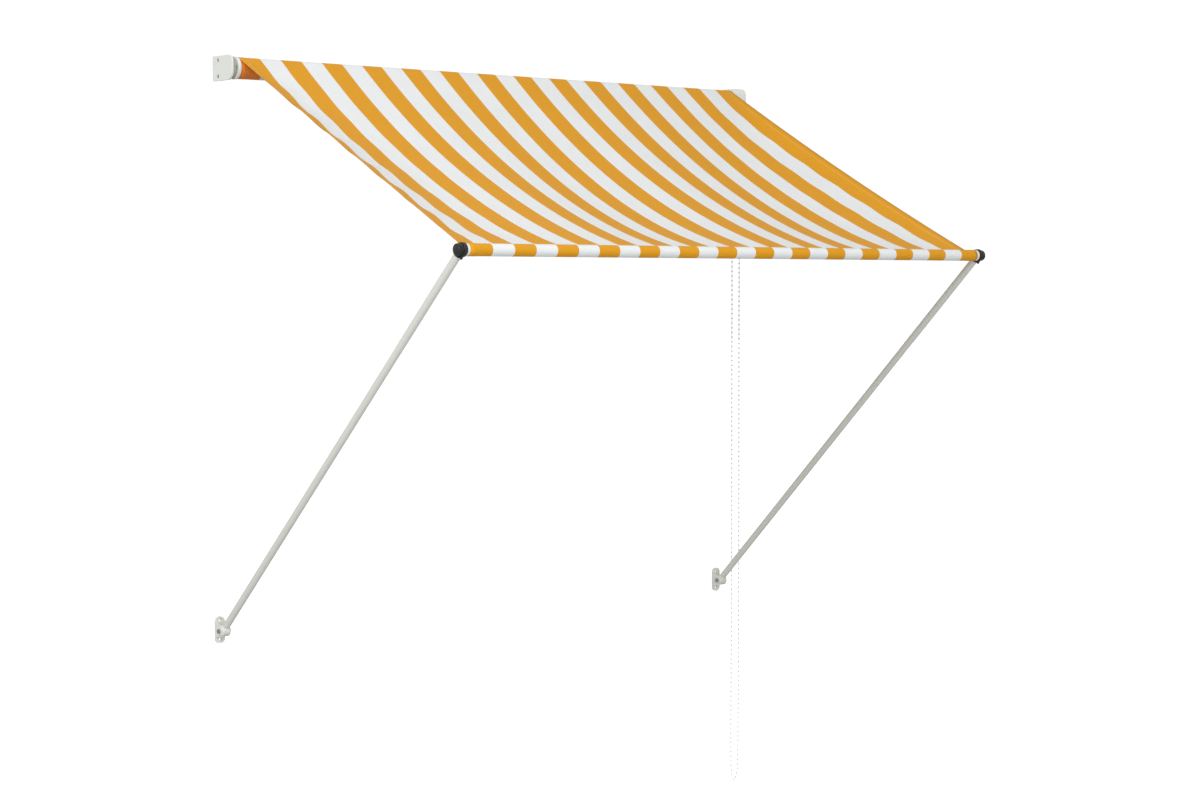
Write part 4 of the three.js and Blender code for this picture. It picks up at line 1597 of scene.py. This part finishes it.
@dataclass
class Arm:
    """One arm: its knuckle, its tube, and the black hub with its cap that holds the front bar."""

    side: Side
    tube: float = 0.008
    wall: float = 0.0011
    knuckle: float = 0.012
    knuckle_edge: float = 0.0012
    bolt_hole: float = 0.0033
    hub: float = 0.0145
    hub_outer: float = 0.0124
    lug_reach: float = 0.020
    lug_root: float = 0.012
    lug_spread: float = 0.95
    journal_bore: float = 0.0063
    screw_room: float = 0.009
    screw_room_from: float = 0.0034
    cap: float = 0.012
    cap_rim: float = 0.0016
    neck_play: float = 0.0004
    spigot_play: float = 0.0003
    spigot_reach: float = 0.028
    neck_stop: float = 0.0128

    def __post_init__(self) -> None:
        """Finds where the arm stands."""
        self.at = ArmFrame(self.side)
        self.rides = f"{self.side.word}_arm"
        self.bottom = self.knuckle + 0.003
        self.top = self.at.length - self.hub - 0.001
        self.spigot = self.tube - self.wall - self.spigot_play

    def tube_piece(self) -> None:
        """Makes the tube, with its cut ends just broken."""
        body = ring(self.tube, self.tube - self.wall, self.bottom, self.top, Vector((0, 0, 0)), 48)
        body = self.at.along(soften(body, 0.0003))
        stand_in(body, f"{self.side.word}_arm_tube", ARM_PAINT, self.rides)

    def knuckle_piece(self) -> None:
        """Makes the knuckle: a short round eye with a neck and a spigot into the tube."""
        low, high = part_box(f"{self.side.word}_arm_knuckle")
        origin = Vector((0, 0, 0))
        eye = rod(self.knuckle, low.x, high.x, self.at.pivot, 72)
        eye = soften(eye, self.knuckle_edge, 3)
        neck = self.at.along(rod(self.tube - self.neck_play, 0, self.bottom - 0.0003, origin, 48))
        spigot = self.at.along(rod(self.spigot, 0.005, self.bottom + self.spigot_reach, origin, 48))
        body = combined(eye, Joining.FUSE, neck, spigot)
        hole = rod(self.bolt_hole, low.x - OVERSHOOT, high.x + OVERSHOOT, self.at.pivot, 32)
        body = combined(body, Joining.CUT, hole)
        stand_in(body, f"{self.side.word}_arm_knuckle", ARM_PAINT, self.rides)

    def hub_lug(self, x0: float, x1: float) -> bmesh.types.BMesh:
        """Makes the pointed lug that hangs straight down from the bar's axis.

        Args:
            x0: X of one face.
            x1: X of the other.

        Returns:
            The lug.
        """
        across, down = self.lug_root * math.sin(self.lug_spread), self.lug_root * math.cos(self.lug_spread)
        y, z = BAR_AXIS.y, BAR_AXIS.z
        outline = [
            Corner(y, z),
            Corner(y - across, z - down),
            Corner(y, z - self.lug_reach, 0.0012),
            Corner(y + across, z - down),
        ]
        return plate(outline, x0, x1, Axis.ALONG_X, arc=5)

    def hub_piece(self) -> None:
        """Makes the hub: two stepped discs, the pointed lug and the neck into the arm's tube."""
        sign, x = self.side.value, self.at.pivot.x
        neck_top = self.at.length - self.neck_stop
        discs = [
            soften(rod(self.hub, x - sign * 0.006, x + sign * 0.002, BAR_AXIS, 96), 0.0008, 3),
            soften(rod(self.hub_outer, x + sign * 0.001, x + sign * 0.008, BAR_AXIS, 96), 0.0006, 2),
            soften(self.hub_lug(x - sign * 0.002, x + sign * 0.002), 0.0004),
        ]
        origin = Vector((0, 0, 0))
        neck = self.at.along(rod(self.tube - self.neck_play, self.top + 0.0003, neck_top, origin, 48))
        spigot = self.at.along(rod(self.spigot, self.top - self.spigot_reach, neck_top, origin, 48))
        body = combined(discs[0], Joining.FUSE, discs[1], discs[2], neck, spigot)
        bore = rod(self.journal_bore, x - sign * 0.010, x + sign * 0.004, BAR_AXIS, 48)
        room = rod(self.screw_room, x + sign * self.screw_room_from, x + sign * 0.012, BAR_AXIS, 48)
        body = combined(body, Joining.CUT, bore, room)
        stand_in(body, f"{self.side.word}_hub", BLACK_PLASTIC, self.rides)

    def cap_piece(self) -> None:
        """Makes the hub's snap-in cap: a low dome inside a thin rim."""
        sign = self.side.value
        foot, crown = ends(f"{self.side.word}_hub_cap", self.side)
        rise = abs(crown - foot)
        rim = self.cap - self.cap_rim
        steps = 8
        dome = [
            (foot + sign * rise * (0.62 + 0.38 * math.cos(angle)), rim * 0.92 * math.sin(angle))
            for angle in (math.pi / 2 * (1 - i / steps) for i in range(steps + 1))
        ]
        profile = [(foot, 0), (foot, self.cap - 0.0004), (foot + sign * rise * 0.5, self.cap)]
        profile += [(foot + sign * rise * 0.74, self.cap - 0.0005), (foot + sign * rise * 0.74, rim)]
        body = turned([*profile, *dome], BAR_AXIS, 96)
        stand_in(body, f"{self.side.word}_hub_cap", BLACK_PLASTIC, self.rides)

    def build(self) -> None:
        """Makes the arm."""
        self.tube_piece()
        self.knuckle_piece()
        self.hub_piece()
        self.cap_piece()


# ------------------------------------------------------------------------------------------ wall feet
@dataclass
class WallFoot:
    """A cast foot on the wall, with one round ear for the arm's pivot bolt."""

    side: Side
    thickness: float = 0.005
    corner: float = 0.0115
    half_width: float = 0.012
    boss_depth: float = 0.003
    ear: float = 0.0125
    ear_from: float = -0.012
    ear_to: float = -0.008
    boss: float = 0.009
    boss_face: float = -0.014
    screw_hole: float = 0.0028
    countersink: float = 0.0044
    countersink_depth: float = 0.0014
    hole_spacing: float = 0.041
    bolt: float = 0.003
    hex_across_corners: float = 0.0108

    def __post_init__(self) -> None:
        """Finds the pivot."""
        self.pivot = joint_place(f"{self.side.word}_arm_swing")

    def ear_body(self) -> bmesh.types.BMesh:
        """Makes the ear: a tapered web that ends in a round.

        Returns:
            The ear.
        """
        y, z = self.pivot.y, self.pivot.z
        root = self.ear + 0.004
        web = [Corner(-0.001, z - root), Corner(-0.001, z + root), Corner(-self.thickness, z + root)]
        steps = 30
        first, last = math.pi * 0.4, math.pi * 1.6
        turns = [first + (last - first) * i / steps for i in range(steps + 1)]
        rounded = [Corner(y + self.ear * math.cos(turn), z + self.ear * math.sin(turn)) for turn in turns]
        outline = [*web, *rounded, Corner(-self.thickness, z - root)]
        return plate(outline, self.pivot.x + self.ear_from, self.pivot.x + self.ear_to, Axis.ALONG_X)

    def screw_cutters(self) -> list[bmesh.types.BMesh]:
        """Makes the cutters of the two countersunk holes for the wall screws."""
        cutters = []
        for end in (-1, 1):
            for radius, near, far in (
                (self.screw_hole, 0.01, -0.02),
                (self.countersink, -self.thickness + self.countersink_depth, -0.02),
            ):
                spot = self.pivot + Vector((0, 0, end * self.hole_spacing / 2))
                cutters.append(rod_off_wall(radius, near, far, spot, 40))
        return cutters

    def foot_piece(self) -> None:
        """Makes the foot."""
        node = f"{self.side.word}_foot"
        low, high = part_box(node)
        half, x = self.half_width, self.pivot.x
        outline = [
            Corner(x - half, low.z, self.corner),
            Corner(x + half, low.z, self.corner),
            Corner(x + half, high.z, self.corner),
            Corner(x - half, high.z, self.corner),
        ]
        body = plate(outline, 0.0, self.thickness, Axis.OFF_WALL, arc=12)
        boss = rod(self.boss, x + self.boss_face, x + self.boss_face + self.boss_depth, self.pivot, 64)
        body = combined(body, Joining.FUSE, self.ear_body(), boss)
        bolt_hole = rod(self.bolt + 0.0003, x - 0.03, x + 0.005, self.pivot, 32)
        body = combined(body, Joining.CUT, *self.screw_cutters(), bolt_hole)
        body = soften(body, 0.0007, 2)
        stand_in(body, node, BRACKET_PAINT, "wall_frame")

    def hexagon(self, start: float, end: float) -> bmesh.types.BMesh:
        """A hexagonal bar along X about the pivot, from start to end."""
        return rod(self.hex_across_corners / 2, start, end, self.pivot, 6)

    def bolt_piece(self) -> None:
        """Makes the pivot bolt: a hexagon head with its corners turned off, and the shank."""
        node = f"{self.side.word}_pivot_bolt"
        low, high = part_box(node)
        seat = self.pivot.x + self.boss_face - 0.0003
        head = soften(self.hexagon(low.x, seat), 0.0004)
        shank = soften(rod(self.bolt, seat - 0.001, high.x, self.pivot, 40), 0.0004)
        stand_in(combined(head, Joining.FUSE, shank), node, ZINC_STEEL, "wall_frame")

    def nut_piece(self) -> None:
        """Makes the nut."""
        node = f"{self.side.word}_pivot_nut"
        low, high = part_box(node)
        bore = rod(self.bolt + 0.0003, low.x - OVERSHOOT, high.x + OVERSHOOT, self.pivot, 40)
        body = soften(combined(self.hexagon(low.x, high.x), Joining.CUT, bore), 0.0004)
        stand_in(body, node, ZINC_STEEL, "wall_frame")

    def build(self) -> None:
        """Makes the foot, its bolt and its nut."""
        self.foot_piece()
        self.bolt_piece()
        self.nut_piece()


# ------------------------------------------------------------------------------------------ front bar
@dataclass
class BarPlug:
    """The white plug in an end of the front bar: collar, spigot and journal."""

    side: Side
    collar: float = 0.0124
    spigot: float = 0.0096
    journal: float = 0.006
    pilot: float = 0.0024
    gap: float = 0.0003

    def build(self) -> None:
        """Makes the plug."""
        node = f"{self.side.word}_bar_plug"
        sign = self.side.value
        inner, tip = ends(node, self.side)
        hub_face, _ = ends(f"{self.side.word}_hub", self.side)
        _, tube_end = ends("front_bar_tube", self.side)
        outer = hub_face - sign * self.gap
        root = tube_end + sign * self.gap
        profile = [
            (inner, self.pilot),
            (inner, self.spigot),
            (root, self.spigot),
            (root, self.collar),
            (outer, self.collar),
            (outer, self.journal),
            (tip, self.journal),
            (tip, self.pilot),
        ]
        body = soften(turned(profile, BAR_AXIS, 96, closed=True), 0.0005, 3)
        stand_in(body, node, WHITE_PLASTIC, "front_bar")


# ------------------------------------------------------------------------------------------ inner works
class InnerWorks:
    """The nodes that keep their CAD shape: they sit inside the tubes and housings."""

    def build(self) -> None:
        """Gives each carried-over node its finish."""
        finishes = {
            ZINC_STEEL: ("bearing_pin", "brake_spring", "left_journal_screw", "right_journal_screw"),
            BARE_ALUMINIUM: ("roller_tube", "front_bar_tube"),
            WHITE_PLASTIC: ("clutch_core", "chain_wheel"),
        }
        for finish, nodes in finishes.items():
            for node in nodes:
                mesh = frame["nodes"][node].data
                mesh.materials.clear()
                mesh.materials.append(finish.material())
                log.info("%s: kept, in %s", node, finish.name)


def main() -> None:
    """Builds the awning and its studio."""
    logging.basicConfig(level=logging.INFO, format="%(name)s: %(message)s")
    builders: list[Callable[[], None]] = [
        Studio().build, BeadChain().build, Cloth().build, RollerEnds().build
    ]
    for side in Side:
        builders += [part(side).build for part in (RollerBracket, Arm, WallFoot, BarPlug)]
    builders.append(InnerWorks().build)
    for build in builders:
        build()


if __name__ == "__main__":
    main()
